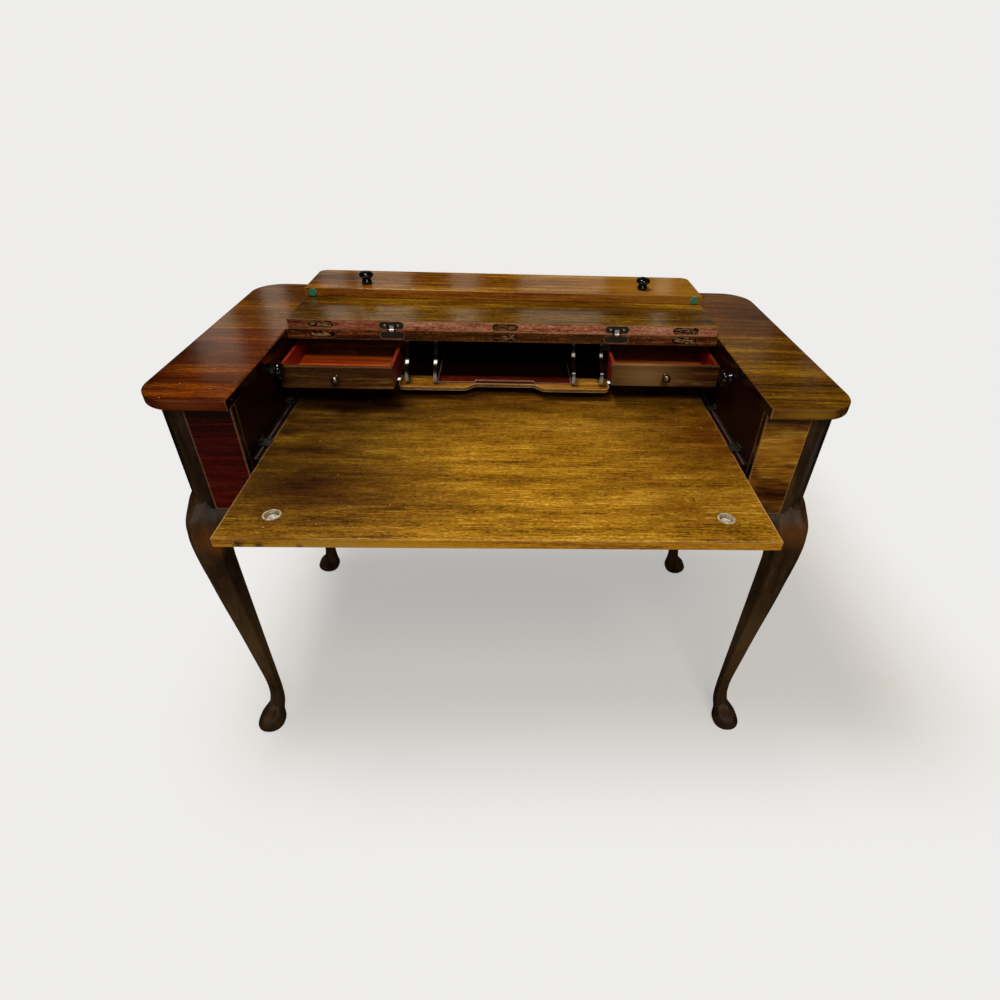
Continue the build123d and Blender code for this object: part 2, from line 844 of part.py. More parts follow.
def divider(low_x):
    """An upright between pigeonholes: a round nose above the floor and a hollow brow up to the top."""
    nose = gallery_floor_front + divider_setback
    nose_top = gallery_floor_top + divider_nose_height
    with BuildPart() as piece:
        with BuildSketch(Plane.YZ.offset(low_x)):
            with BuildLine():
                ThreePointArc(
                    (nose + divider_nose_depth, gallery_floor_top),
                    (nose, gallery_floor_top + divider_nose_height / 2),
                    (nose + divider_nose_depth, nose_top),
                )
                ThreePointArc(
                    (nose + divider_nose_depth, nose_top),
                    (nose + divider_hollow_depth, nose_top + divider_hollow_rise),
                    (nose + divider_brow_depth, top_underside),
                )
                Polyline(
                    (nose + divider_brow_depth, top_underside),
                    (gallery_back_front, top_underside),
                    (gallery_back_front, gallery_floor_top),
                    (nose + divider_nose_depth, gallery_floor_top),
                )
            make_face()
        extrude(amount=divider_thickness)
    return piece


def pen_tray():
    """A thin board on the gallery floor in the middle hole, with a lip along its front."""
    half = inner_divider_x - divider_thickness - tray_side_gap
    tray_front = gallery_floor_front + recess_depth + tray_lip_setback
    with BuildPart() as piece:
        block((-half, half), (tray_front, tray_front + tray_depth), gallery_floor_top, tray_thickness)
        lip_x = (-recess_width / 2, recess_width / 2)
        block(lip_x, (tray_front, tray_front + tray_lip_width), gallery_floor_top, tray_lip_height)
    return piece


def drawer_guides():
    """Strips on the shelves beside the drawers, against the dividers and the walls."""
    with BuildPart() as piece:
        for side in sides.values():
            start = drawer_shut_front + drawer_front_thickness
            for near, far in (
                (divider_outer_x, drawer_inner_x - running_gap),
                (drawer_outer_x + running_gap, wall_x),
            ):
                block((side * near, side * far), (start, back_panel_front), shelf_top, guide_strip_height)
    return piece


def drawer_kickers():
    """A batten under the top in front of each drawer opening, which keeps a pulled drawer level."""
    with BuildPart() as piece:
        for side in sides.values():
            limits = (side * divider_outer_x, side * wall_x)
            depth = (shelf_front, shelf_front + kicker_depth)
            block(limits, depth, top_underside, kicker_gap - drawer_top_gap)
    return piece


def drawer_shelves():
    """The shelf that each drawer runs on, between the outer divider and the wall."""
    with BuildPart() as piece:
        for side in sides.values():
            limits = (side * divider_outer_x, side * wall_x)
            block(limits, (shelf_front, back_panel_front), shelf_top - shelf_thickness, shelf_thickness)
    return piece


def drawer_pieces(name, side, pull):
    """Front, sides, back, bottom and knob of one drawer, pulled towards the sitter."""
    face = drawer_shut_front - pull
    inside = face + drawer_front_thickness
    end = face + drawer_length
    outer, inner = side * drawer_outer_x, side * drawer_inner_x
    wall_outer = side * (drawer_outer_x - drawer_side_thickness)
    wall_inner = side * (drawer_inner_x + drawer_side_thickness)
    side_heights = (drawer_low, drawer_top - drawer_side_drop)
    bottom_low = drawer_low + drawer_bottom_rise
    front_heights = (drawer_low, drawer_top)
    keep_plank(f"{name}_drawer_front", (inner, outer), (face, inside), front_heights, drawer_edge_radius)
    with BuildPart() as walls:
        for near, far in ((inner, wall_inner), (wall_outer, outer)):
            block((near, far), (inside, end), side_heights[0], side_heights[1] - side_heights[0])
    keep(walls, f"{name}_drawer_sides")
    back_limits = (end - drawer_side_thickness, end)
    keep_plank(f"{name}_drawer_back", (wall_inner, wall_outer), back_limits, side_heights)
    bottom_heights = (bottom_low, bottom_low + drawer_bottom_thickness)
    keep_plank(f"{name}_drawer_bottom", (wall_inner, wall_outer), (inside, back_limits[0]), bottom_heights)
    keep(drawer_knob(((inner + outer) / 2, face, (drawer_low + drawer_top) / 2)), f"{name}_drawer_knob")


os.makedirs("parts", exist_ok=True)

# The fixed desk
case_heights = (case_bottom, top_underside)
wall_length = (panel_back, back_panel_front)
rail_depth = (panel_front, panel_front + front_rail_thickness)
keep(rear_top_board(), "rear_top_board")
keep_plank("back_panel", (-post_inner_x, post_inner_x), (back_panel_front, back_panel_rear), case_heights)
keep_plank("front_rail", (-wall_x, wall_x), rail_depth, (case_bottom, front_rail_top))
for word, side in sides.items():
    keep(wing_top(side), f"{word}_wing_top")
    keep(cabriole_leg(side, -1), f"front_{word}_leg")
    keep(cabriole_leg(side, 1), f"rear_{word}_leg")
    front_x = (side * wall_x, side * post_inner_x)
    keep_plank(f"{word}_front_panel", front_x, (panel_front, panel_back), case_heights, panel_edge_radius)
    panel_x = (side * (side_panel_x - panel_thickness), side * side_panel_x)
    keep_plank(f"{word}_side_panel", panel_x, (post_front_inner_y, post_rear_inner_y), case_heights)
    keep_plank(f"{word}_inner_wall", (side * wall_x, side * wall_back_x), wall_length, case_heights)
    keep(block_floor(side), f"{word}_block_floor")
    keep(board_guide(side), f"{word}_board_guide")
    rest_base = (side * wall_x, lid_rest_y, lid_rest_z)
    keep(turned_knob(rest_base, (-side, 0, 0), (0, 0, 1)), f"{word}_lid_rest_knob")
keep(guide_strips(), "guide_strips")
keep(board_clips(), "board_clips")
keep(clip_screws(), "clip_screws")
keep(stop_blocks(), "board_stop_blocks")
keep(hinge_plates(desk_height - top_thickness / 2, desk_height), "top_hinge_plates")
keep(top_hinge_ears(), "top_hinge_ears")

# The gallery under the rear board
keep(gallery_floor(), "gallery_floor")
keep(divider(-divider_outer_x), "left_outer_divider")
keep(divider(-inner_divider_x), "left_inner_divider")
keep(divider(inner_divider_x - divider_thickness), "right_inner_divider")
keep(divider(divider_outer_x - divider_thickness), "right_outer_divider")
gallery_back_heights = (gallery_floor_top - gallery_floor_thickness, top_underside)
gallery_back_x = (-divider_outer_x, divider_outer_x)
keep_plank("gallery_back", gallery_back_x, (gallery_back_front, back_panel_front), gallery_back_heights)
keep(pen_tray(), "pen_tray")
keep(drawer_shelves(), "drawer_shelves")
keep(drawer_guides(), "drawer_guides")
keep(drawer_kickers(), "drawer_kickers")

# The drawers
drawer_pieces("left", -1, left_drawer_pull)
drawer_pieces("right", 1, right_drawer_pull)

# The writing board
keep(writing_board(), "writing_board")
keep(finger_cups(), "finger_cups")
batten_x = ledge_x - guide_side_gap
batten_y = (board_rear - batten_depth, board_rear)
keep_plank("board_batten", (-batten_x, batten_x), batten_y, (board_low - batten_thickness, board_low))

# The lid
keep(lid_board(), "lid_board")
keep(hinge_plates(lid_low + top_thickness / 2, lid_low), "lid_hinge_plates")
keep(lid_hinge_tongues(), "lid_hinge_tongues")
keep(lid_leaves(), "flap_hinge_lid_leaves")

# The flap
keep(flap_board(), "flap_board")
keep(flap_leaves(), "flap_hinge_leaves")
keep(felt_pads(), "felt_pads")
for word, side in sides.items():
    base = (side * (lid_width / 2 - flap_knob_end_inset), flap_free_edge + flap_knob_inset, flap_high)
    keep(turned_knob(base, (0, 0, 1), (1, 0, 0)), f"{word}_flap_knob")
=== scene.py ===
# %% [markdown]
# # A spinet desk, opened for writing
# The CAD model already holds every board, leg, hinge and knob at its real size. This lesson dresses it: a
# camera where the photographer stood, a studio with soft light, old lacquered mahogany for the boards,
# and the small worn details that tell the desk's age. Every length below is in metres, in the desk's own
# frame: X to the right, Y to the back, Z up.

# %% The frame
import math

import bmesh
import bpy
import numpy as np
from mathutils import Matrix, Vector


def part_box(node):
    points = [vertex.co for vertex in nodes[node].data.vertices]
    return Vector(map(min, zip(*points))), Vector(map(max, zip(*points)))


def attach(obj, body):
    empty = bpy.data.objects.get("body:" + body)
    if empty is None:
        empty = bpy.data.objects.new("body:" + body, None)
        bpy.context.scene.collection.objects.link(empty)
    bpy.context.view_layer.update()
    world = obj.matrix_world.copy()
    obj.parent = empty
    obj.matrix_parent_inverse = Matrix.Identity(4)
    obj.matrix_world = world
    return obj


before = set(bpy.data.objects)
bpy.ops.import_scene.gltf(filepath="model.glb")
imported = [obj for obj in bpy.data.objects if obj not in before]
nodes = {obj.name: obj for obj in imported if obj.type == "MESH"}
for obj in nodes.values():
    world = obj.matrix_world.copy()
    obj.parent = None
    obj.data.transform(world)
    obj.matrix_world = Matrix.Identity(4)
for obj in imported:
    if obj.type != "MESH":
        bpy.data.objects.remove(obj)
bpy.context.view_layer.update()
mm = 0.001

# %% [markdown]
# ## Camera
# The photo was taken from just in front of the desk, looking down on it with a wide lens. Its place was
# worked out from the desk's own edges: the direction as a yaw, a pitch and a small roll, the lens as a
# focal length in picture widths.

# %% Camera
eye = Vector((0.0052, -0.9660, 1.2107))
yaw, pitch, roll = math.radians(2.52), math.radians(-35.42), math.radians(2.04)
focal_in_widths = 0.58777
shift_x, shift_y = -0.02736, -0.01201
ahead = Vector((math.sin(yaw) * math.cos(pitch), math.cos(yaw) * math.cos(pitch), math.sin(pitch)))
level = Vector((math.cos(yaw), -math.sin(yaw), 0))
upright = level.cross(ahead)
right = math.cos(roll) * level + math.sin(roll) * upright
up = math.cos(roll) * upright - math.sin(roll) * level
lens = bpy.data.cameras.new("camera")
lens.sensor_width = 36
lens.lens = lens.sensor_width * focal_in_widths
lens.shift_x, lens.shift_y = shift_x, shift_y
camera = bpy.data.objects.new("camera", lens)
bpy.context.scene.collection.objects.link(camera)
camera.matrix_world = Matrix.Translation(eye) @ Matrix((right, up, -ahead)).transposed().to_4x4()
bpy.context.scene.camera = camera
print("camera at", tuple(round(c, 3) for c in eye), "lens", round(lens.lens, 2), "mm")

# %% [markdown]
# ## Colours and nodes
# Colours are written as they look on a screen, in sRGB hex, and one function turns them into the linear
# values that a renderer adds and multiplies. A second function adds a shader node, sets it and links it,
# so that a material reads as a short list.


# %% Colours and nodes
def linear(code):
    """sRGB hex to linear: c / 12.92 where c is small, else ((c + 0.055) / 1.055) to the power 2.4."""
    c = np.array([int(code[i:i + 2], 16) for i in (1, 3, 5)]) / 255
    return (*np.where(c <= 0.04045, c / 12.92, ((c + 0.055) / 1.055) ** 2.4), 1.0)


def add(tree, kind, inputs=None, stops=None, **settings):
    """Add one node: settings are its properties, inputs its values or links, stops a ramp's colours."""
    made = tree.nodes.new("ShaderNode" + kind)
    for key, value in settings.items():
        setattr(made, key, value)
    for key, value in (inputs or {}).items():
        if isinstance(value, bpy.types.NodeSocket):
            tree.links.new(value, made.inputs[key])
        else:
            made.inputs[key].default_value = value
    if stops:
        band = made.color_ramp.elements
        while len(band) < len(stops):
            band.new(0.5)
        for element, (place, colour) in zip(band, stops):
            element.position = place
            element.color = colour
    return made


def blank(name, **sockets):
    """A new material with its tree, shader and Object coordinates; sockets are the shader's constants."""
    material = bpy.data.materials.new(name)
    material.use_nodes = True
    tree = material.node_tree
    shader = tree.nodes["Principled BSDF"]
    for socket, value in sockets.items():
        shader.inputs[socket.replace("_", " ")].default_value = value
    return material, tree, shader, add(tree, "TexCoord").outputs["Object"]


def dress(material, *names):
    """Give CAD nodes their material, in every slot."""
    for name in names:
        nodes[name].data.materials.clear()
        nodes[name].data.materials.append(material)


print("middle grey on a screen is", round(float(linear("#808080")[0]), 3), "in linear light")

# %% [markdown]
# ## Meshes
# Every new shape here is a formula of two parameters, worked out as a grid of points. One function turns
# such a grid, or a stack of them, into a mesh.


# %% Meshes
def sheet_mesh(name, grids, wrap=False, closed=False):
    """One mesh from one grid of points or a stack of them: each cell is a face, wrap joins the last
    column to the first, and closed merges the points that meet at poles and seams and turns every face
    outwards."""
    grids = np.asarray(grids, float)
    grids = grids.reshape(-1, *grids.shape[-3:])
    count, rows, columns = grids.shape[:3]
    index = np.arange(count * rows * columns).reshape(count, rows, columns)
    if wrap:
        index = np.concatenate([index, index[:, :, :1]], 2)
    corners = [index[:, :-1, :-1], index[:, :-1, 1:], index[:, 1:, 1:], index[:, 1:, :-1]]
    faces = np.stack(corners, -1).reshape(-1, 4)
    mesh = bpy.data.meshes.new(name)
    mesh.from_pydata(grids.reshape(-1, 3).tolist(), [], faces.tolist())
    if closed:
        work = bmesh.new()
        work.from_mesh(mesh)
        bmesh.ops.remove_doubles(work, verts=work.verts, dist=1e-7)
        bmesh.ops.recalc_face_normals(work, faces=work.faces)
        work.to_mesh(mesh)
        work.free()
    mesh.polygons.foreach_set("use_smooth", np.full(len(mesh.polygons), True))
    mesh.update()
    piece = bpy.data.objects.new(name, mesh)
    bpy.context.scene.collection.objects.link(piece)
    return piece


print("mesh maker ready")

# %% [markdown]
# ## Floor
# A plain pale floor without a visible end. Under the desk and to its right it is matte paper that takes
# the soft shadow; around that it fades into the colour of the background. Only camera rays see that
# change: the light that the floor throws back on the desk is plain paper's.

# %% Floor
pale = "#eeedeb"
paper_colour = "#cfccc4"
floor_reach = 40.0
floor_lift = 0.47
shade_middle, shade_half, shade_fade = (0.24, 0.38, 0.0), (0.64, 0.45, 1.0), 0.40
side_steps = np.linspace(-floor_reach, floor_reach, 5)
floor_grid = np.stack(np.broadcast_arrays(side_steps[None, :], side_steps[:, None], 0.0), -1)
floor = sheet_mesh("floor", floor_grid)
# Matte paper: hardly any gloss, so it shows only light and shadow.
paper, tree, shader, place = blank("matte_paper", Base_Color=linear(paper_colour), Roughness=0.9)
off = add(tree, "VectorMath", {0: place, 1: shade_middle}, operation="SUBTRACT").outputs[0]
size = add(tree, "VectorMath", {0: off}, operation="ABSOLUTE").outputs[0]
over = add(tree, "VectorMath", {0: size, 1: shade_half}, operation="SUBTRACT").outputs[0]
beyond = add(tree, "VectorMath", {0: over, 1: (0, 0, 0)}, operation="MAXIMUM").outputs[0]
distance = add(tree, "VectorMath", {0: beyond}, operation="LENGTH").outputs["Value"]
span = {"Value": distance, "From Max": shade_fade}
fade = add(tree, "MapRange", span, interpolation_type="SMOOTHSTEP").outputs[0]
seen = add(tree, "LightPath").outputs["Is Camera Ray"]
share = add(tree, "Math", {0: fade, 1: seen}, operation="MULTIPLY").outputs[0]
lift = add(tree, "Math", {0: seen, 1: floor_lift}, operation="MULTIPLY").outputs[0]
near_glow = add(tree, "Emission", {"Color": linear(pale), "Strength": lift}).outputs[0]
near = add(tree, "AddShader", {0: shader.outputs[0], 1: near_glow}).outputs[0]
far = add(tree, "Emission", {"Color": linear(pale), "Strength": 1.0}).outputs[0]
surface = add(tree, "MixShader", {0: share, 1: near, 2: far})
tree.links.new(surface.outputs[0], tree.nodes["Material Output"].inputs["Surface"])
floor.data.materials.append(paper)
print("floor", len(floor.data.polygons), "faces")

# %% [markdown]
# ## Light
# A soft lamp hangs nearly straight above the desk: the drawers throw their shadow straight down on the
# board. A weak lamp high in front and a dim pale room fill the fronts and the drawers. Lacquer is a
# mirror for what stands behind the desk. In the photo it shows nine upright pale bands, as tall windows
# in a dark room would give, so nine dim lamps of that shape stand behind the desk.

# %% Lights
room_light = 0.12
world = bpy.data.worlds.new("studio")
bpy.context.scene.world = world
world.use_nodes = True
tree = world.node_tree
path = add(tree, "LightPath").outputs
pair = {0: path["Is Camera Ray"], 1: path["Is Glossy Ray"]}
straight = add(tree, "Math", pair, operation="MAXIMUM").outputs[0]
pair = {0: straight, 1: path["Is Transmission Ray"]}
straight = add(tree, "Math", pair, operation="MAXIMUM").outputs[0]
level_of_room = add(tree, "MapRange", {"Value": straight, "To Min": room_light, "To Max": 1.0}).outputs[0]
tree.nodes["Background"].inputs["Color"].default_value = linear(pale)
tree.links.new(level_of_room, tree.nodes["Background"].inputs["Strength"])


def softbox(name, place, target, width, height, watts, tint):
    """A rectangular lamp that faces a target point and that the camera doesn't see."""
    lamp = bpy.data.lights.new(name, "AREA")
    lamp.shape = "RECTANGLE"
    lamp.size = width
    lamp.size_y = height
    lamp.energy = watts
    lamp.color = linear(tint)[:3]
    holder = bpy.data.objects.new(name, lamp)
    bpy.context.scene.collection.objects.link(holder)
    holder.location = place
    holder.rotation_euler = (Vector(target) - Vector(place)).to_track_quat("-Z", "Y").to_euler()
    holder.visible_camera = False


lamp_white, window_white = "#fff2e0", "#fff0d6"
softbox("overhead", (-0.50, 0.10, 2.9), (0, -0.05, 0.75), 0.6, 0.5, 28, lamp_white)
softbox("front_fill", (0.3, -1.7, 2.7), (0, 0, 0.6), 1.0, 0.6, 19, lamp_white)
window_y, window_low, window_high = 3.2, 1.50, 2.30
# Each window: its left and right side, and its radiance.
windows = [(-2.27, -1.95, 0.55), (-1.71, -1.55, 0.55), (-1.29, -1.11, 0.50), (-1.03, -0.67, 0.44),
           (-0.39, -0.21, 0.40), (0.09, 0.68, 0.36), (1.04, 1.15, 0.36), (1.38, 1.97, 0.14),
           (2.26, 2.47, 0.16)]
for number, (low, high, radiance) in enumerate(windows):
    middle = ((low + high) / 2, window_y, (window_low + window_high) / 2)
    width, height = high - low, window_high - window_low
    watts = radiance * math.pi * width * height
    softbox(f"window_{number}", middle, (middle[0], 0, middle[2]), width, height, watts, window_white)
print("lamps:", 2 + len(windows), "room light:", room_light)

# %% [markdown]
# ## The dome
# A dome that only mirror rays meet keeps the white studio out of the lacquer, as a furniture photographer
# does with black cloth. Far in front its foot is bright: that gives the knees, the knobs and the noses of
# the gallery their highlights.

# %% The dome
dome_radius, dark_glow, front_glow, high_share = 7.0, 0.006, 0.9, 0.03
glow_start_y, glow_full_y, glow_full_z, glow_end_z = -1.8, -3.4, 0.5, 2.0
turn = np.linspace(0, 2 * np.pi, 33)[:-1]
rise = np.linspace(0, np.pi / 2, 17)[:, None]
x, y, z = np.cos(rise) * np.cos(turn), np.cos(rise) * np.sin(turn), np.sin(rise)
sweep = np.stack(np.broadcast_arrays(x, y, z), -1)
ring = np.linspace(0, 1, 8)[:-1, None]
foot = np.stack(np.broadcast_arrays(ring * np.cos(turn), ring * np.sin(turn), 0.0), -1)
dome_grid = dome_radius * np.concatenate([foot, sweep]) + (0, 0, 2 * mm)
dome = sheet_mesh("dark_dome", dome_grid, wrap=True)
dome.visible_camera = dome.visible_diffuse = dome.visible_transmission = dome.visible_shadow = False
# Black cloth: nearly black to a mirror ray, with a bright foot far in front.
cloth, tree, shader, place = blank("black_cloth")
spot = add(tree, "SeparateXYZ", {0: place}).outputs
span = {"Value": spot["Y"], "From Min": glow_start_y, "From Max": glow_full_y, "To Max": front_glow}
ahead_glow = add(tree, "MapRange", span, interpolation_type="SMOOTHSTEP").outputs[0]
span = {"Value": spot["Z"], "From Min": glow_full_z, "From Max": glow_end_z, "To Min": 1.0,
        "To Max": high_share}
low_down = add(tree, "MapRange", span, interpolation_type="SMOOTHSTEP").outputs[0]
glow = add(tree, "Math", {0: ahead_glow, 1: low_down, 2: dark_glow}, operation="MULTIPLY_ADD").outputs[0]
dim = add(tree, "Emission", {"Color": linear("#f2ece4"), "Strength": glow})
tree.links.new(dim.outputs[0], tree.nodes["Material Output"].inputs["Surface"])
dome.data.materials.append(cloth)
print("dome faces:", len(dome.data.polygons))

# %% [markdown]
# ## Masks
# A stain, a raw edge or a face of another colour is chosen by its place on the desk: a soft oval for what
# fades out, a box for what ends at an edge.


# %% Masks
def soft_oval(tree, place, centre, radius):
    """A mask: one minus the smooth step of the distance to the centre, in radii along each axis."""
    off = add(tree, "VectorMath", {0: place, 1: centre}, operation="SUBTRACT").outputs[0]
    scaled = add(tree, "VectorMath", {0: off, 1: radius}, operation="DIVIDE").outputs[0]
    far = add(tree, "VectorMath", {0: scaled}, operation="LENGTH").outputs["Value"]
    span = {"Value": far, "To Min": 1.0, "To Max": 0.0}
    return add(tree, "MapRange", span, interpolation_type="SMOOTHSTEP").outputs[0]


def box_mask(tree, place, low, high):
    """A mask: one inside the box between two corners, else zero, by the largest overshoot of an axis."""
    middle, half = (np.array(low) + high) / 2, (np.array(high) - low) / 2
    off = add(tree, "VectorMath", {0: place, 1: middle}, operation="SUBTRACT").outputs[0]
    size = add(tree, "VectorMath", {0: off}, operation="ABSOLUTE").outputs[0]
    over = add(tree, "VectorMath", {0: size, 1: half}, operation="SUBTRACT").outputs[0]
    axes = add(tree, "SeparateXYZ", {0: over}).outputs
    worst = add(tree, "Math", {0: axes[0], 1: axes[1]}, operation="MAXIMUM").outputs[0]
    worst = add(tree, "Math", {0: worst, 1: axes[2]}, operation="MAXIMUM").outputs[0]
    return add(tree, "Math", {0: worst, 1: 0.0}, operation="LESS_THAN").outputs[0]


print("masks ready")

# %% [markdown]
# ## Grain
# Mahogany veneer has broad figure, long streaks, fine fibres and short flecks, all drawn out along the
# grain. Each layer is one noise, stretched to a real length along the grain and a real width across it.
# On the real wood fibres and pores are about 0.3 mm wide, too fine to show from the camera, so they are
# drawn 1.5 to 2.5 mm wide.


# %% Grain
def stretched(tree, place, grain, length, width, shift, detail, bend=0.2):
    """A noise with cells one length long along the grain and one width across it, bent by a noise."""
    scale = grain / length + (1 - grain) / width
    away = (shift * 7.3, shift * 3.1, shift * 5.7)
    turned = add(tree, "Mapping", {"Vector": place, "Scale": scale, "Location": away}).outputs[0]
    settings = {"Vector": turned, "Scale": 1.0, "Detail": detail, "Roughness": 0.6, "Distortion": bend}
    return add(tree, "TexNoise", settings).outputs["Fac"]


def wood_tone(tree, place, tones, grain, shift, layers):
    """Each layer, less a half and times its weight, is summed about a half; the tones colour the sum."""
    total = 0.5 - 0.5 * sum(weight for _, _, _, weight, _ in layers)
    for length, width, detail, weight, bend in layers:
        layer = stretched(tree, place, grain, length, width, shift, detail, bend)
        total = add(tree, "Math", {0: layer, 1: weight, 2: total}, operation="MULTIPLY_ADD").outputs[0]
    places = np.linspace(0.26, 0.74, len(tones))
    stops = [(at, linear(tone)) for at, tone in zip(places, tones)]
    ramp = add(tree, "ValToRGB", {"Fac": total}, stops=stops)
    return ramp.outputs["Color"], layer


grain_axes = {"x": np.array([1.0, 0, 0]), "y": np.array([0, 1.0, 0]), "z": np.array([0, 0, 1.0])}
# Each layer: length and width of its cells in metres, detail, weight in the sum, and bend.
polished = [(0.55, 0.060, 2.0, 0.80, 0.3), (0.22, 12 * mm, 3.0, 0.60, 0.3),
            (0.060, 2.4 * mm, 3.0, 0.75, 0.3), (9 * mm, 1.8 * mm, 3.0, 0.60, 0.3)]
flecked = [(0.45, 0.080, 2.0, 0.40, 0.4), (0.12, 30 * mm, 3.0, 0.45, 0.3), (0.16, 4 * mm, 4.0, 0.40, 0.3),
           (26 * mm, 2.4 * mm, 4.0, 0.65, 0.6), (6 * mm, 1.5 * mm, 4.0, 0.80, 0.5)]
raw_edge = [(0.12, 8 * mm, 3.0, 0.9, 0.2), (0.030, 4 * mm, 3.0, 0.6, 0.2), (6 * mm, 2 * mm, 4.0, 0.9, 0.0)]
flamed = [(0.10, 35 * mm, 2.0, 0.8, 1.2), (0.07, 6 * mm, 3.0, 0.7, 1.0), (0.030, 2 * mm, 3.0, 0.6, 0.4)]
mottled = [(0.40, 0.060, 2.0, 0.6, 0.2), (0.06, 18 * mm, 3.0, 0.7, 0.6), (0.020, 2.5 * mm, 3.0, 0.3, 0.0)]
stained = [(0.40, 0.060, 2.0, 0.6, 0.2), (0.08, 10 * mm, 3.0, 0.25, 0.2), (0.020, 2.5 * mm, 3.0, 0.2, 0.0)]
striped = [(0.30, 20 * mm, 2.0, 0.6, 0.3), (0.12, 4 * mm, 3.0, 0.8, 0.4), (0.020, 1.8 * mm, 3.0, 0.6, 0.0)]
print("polished wood has", len(polished), "layers, flecked wood", len(flecked))

# %% [markdown]
# ## Old lacquered wood
# Dark pores and a clear lacquer lie over the grain. The lacquer darkens in patches with age and wears
# pale along the arrises; on the brightest edges that pale arris is a painted highlight. Patches are soft
# ovals that tint the wood, some as stains and some as painted shade, and blooms are ovals that turn it
# towards another colour, some as painted light. A face that is raw or differently stained, such as a
# hinged edge, is a box that holds that face alone, and so is a nearly black box of painted shade.

# %% Wood
pore_length, pore_width, pore_tint = 14 * mm, 1.5 * mm, "#3a2414"
blotch_length, blotch_width = 0.12, 0.03
dust_spacing, dust_tint = 22 * mm, "#e8c9a4"
fibre_relief = 0.3 * mm


def tinted(tree, place, colour, ragged, ovals, blend):
    """Tint the colour in soft ovals, each (tint, share, centre, radius), unevenly along the grain."""
    for tint, share, centre, radius in ovals:
        span = {"Value": ragged, "From Min": 0.2, "From Max": 0.6, "To Min": 0.6 * share, "To Max": share}
        amount = add(tree, "MapRange", span).outputs[0]
        oval = soft_oval(tree, place, centre, radius)
        amount = add(tree, "Math", {0: oval, 1: amount}, operation="MULTIPLY").outputs[0]
        inputs = {0: amount, 6: colour, 7: linear(tint)}
        colour = add(tree, "Mix", inputs, data_type="RGBA", blend_type=blend).outputs[2]
    return colour


def pale_arris_wear_and_highlight(tree, colour, ragged, worn, share, width, rub):
    """Mix in the pale arris colour, wear on some edges and a painted highlight on others, where a rounded
    normal leaves the flat one, broken up between rub's ends.
    """
    soft = add(tree, "Bevel", {"Radius": width}, samples=6).outputs[0]
    straight = add(tree, "NewGeometry").outputs["Normal"]
    agree = add(tree, "VectorMath", {0: soft, 1: straight}, operation="DOT_PRODUCT").outputs["Value"]
    span = {"Value": agree, "From Min": 0.97, "From Max": 0.80, "To Max": share}
    edge = add(tree, "MapRange", span).outputs[0]
    span = {"Value": ragged, "From Min": rub[0], "From Max": rub[1]}
    rubbed = add(tree, "MapRange", span).outputs[0]
    edge = add(tree, "Math", {0: edge, 1: rubbed}, operation="MULTIPLY").outputs[0]
    return add(tree, "Mix", {0: edge, 6: colour, 7: linear(worn)}, data_type="RGBA").outputs[2]


def dusted(tree, place, colour, share):
    """Mix in pale specks, at the middles of Voronoi cells."""
    dots = add(tree, "TexVoronoi", {"Vector": place, "Scale": 1 / dust_spacing}).outputs["Distance"]
    span = {"Value": dots, "From Min": 0.055, "From Max": 0.035, "To Max": share}
    dust = add(tree, "MapRange", span).outputs[0]
    return add(tree, "Mix", {0: dust, 6: colour, 7: linear(dust_tint)}, data_type="RGBA").outputs[2]


def wood(name, tones, layers=polished, grain="x", shift=0.0, gloss=0.11, shine=0.5, pore=0.5,
         patches=(), blooms=(), faces=(), worn=None, arris_share=0.6, arris_width=2.2 * mm,
         rub=(0.35, 0.55), speck=0.0):
    """Lacquered wood. Tones run from dark to light; patches and blooms are (colour, share, centre,
    radius), the first multiplied and the second mixed in; faces are (tones, low, high, layers); rub is
    where the pale arris, wear on some edges and a painted highlight on others, breaks."""
    material, tree, shader, place = blank(name, Specular_IOR_Level=shine)
    grain = grain_axes[grain]
    colour, fibre = wood_tone(tree, place, tones, grain, shift, layers)
    pores = stretched(tree, place, grain, pore_length, pore_width, shift + 3, 1.0)
    span = {"Value": pores, "From Min": 0.60, "From Max": 0.68, "To Max": pore}
    holes = add(tree, "MapRange", span).outputs[0]
    inputs = {0: holes, 6: colour, 7: linear(pore_tint)}
    colour = add(tree, "Mix", inputs, data_type="RGBA", blend_type="MULTIPLY").outputs[2]
    for number, (face_tones, low, high, face_layers) in enumerate(faces):
        inside = box_mask(tree, place, low, high)
        raw, _ = wood_tone(tree, place, face_tones, grain, shift + 11 + number, face_layers)
        colour = add(tree, "Mix", {0: inside, 6: colour, 7: raw}, data_type="RGBA").outputs[2]
    ragged = stretched(tree, place, grain, blotch_length, blotch_width, shift + 5, 2.0)
    colour = tinted(tree, place, colour, ragged, patches, "MULTIPLY")
    colour = tinted(tree, place, colour, ragged, blooms, "MIX")
    if worn:
        colour = pale_arris_wear_and_highlight(tree, colour, ragged, worn, arris_share, arris_width, rub)
    if speck:
        colour = dusted(tree, place, colour, speck)
    tree.links.new(colour, shader.inputs["Base Color"])
    span = {"Value": ragged, "From Min": 0.3, "From Max": 0.7, "To Min": gloss, "To Max": gloss + 0.08}
    tree.links.new(add(tree, "MapRange", span).outputs[0], shader.inputs["Roughness"])
    bump = add(tree, "Bump", {"Height": fibre, "Strength": 0.10, "Distance": fibre_relief})
    tree.links.new(bump.outputs[0], shader.inputs["Normal"])
    return material


print("wood ready")

# %% [markdown]
# ## The top
# The wings, the rear board, the lid and the flap are polished alike. The left side is red and darker, the
# right side golden: partly the wood's aged colour, partly painted shade on the left and painted light on
# the right. The lid and the rear board meet in two raw edges that carry the hinges: the upper one is
# pinkish and dry, the lower one dark and mottled.

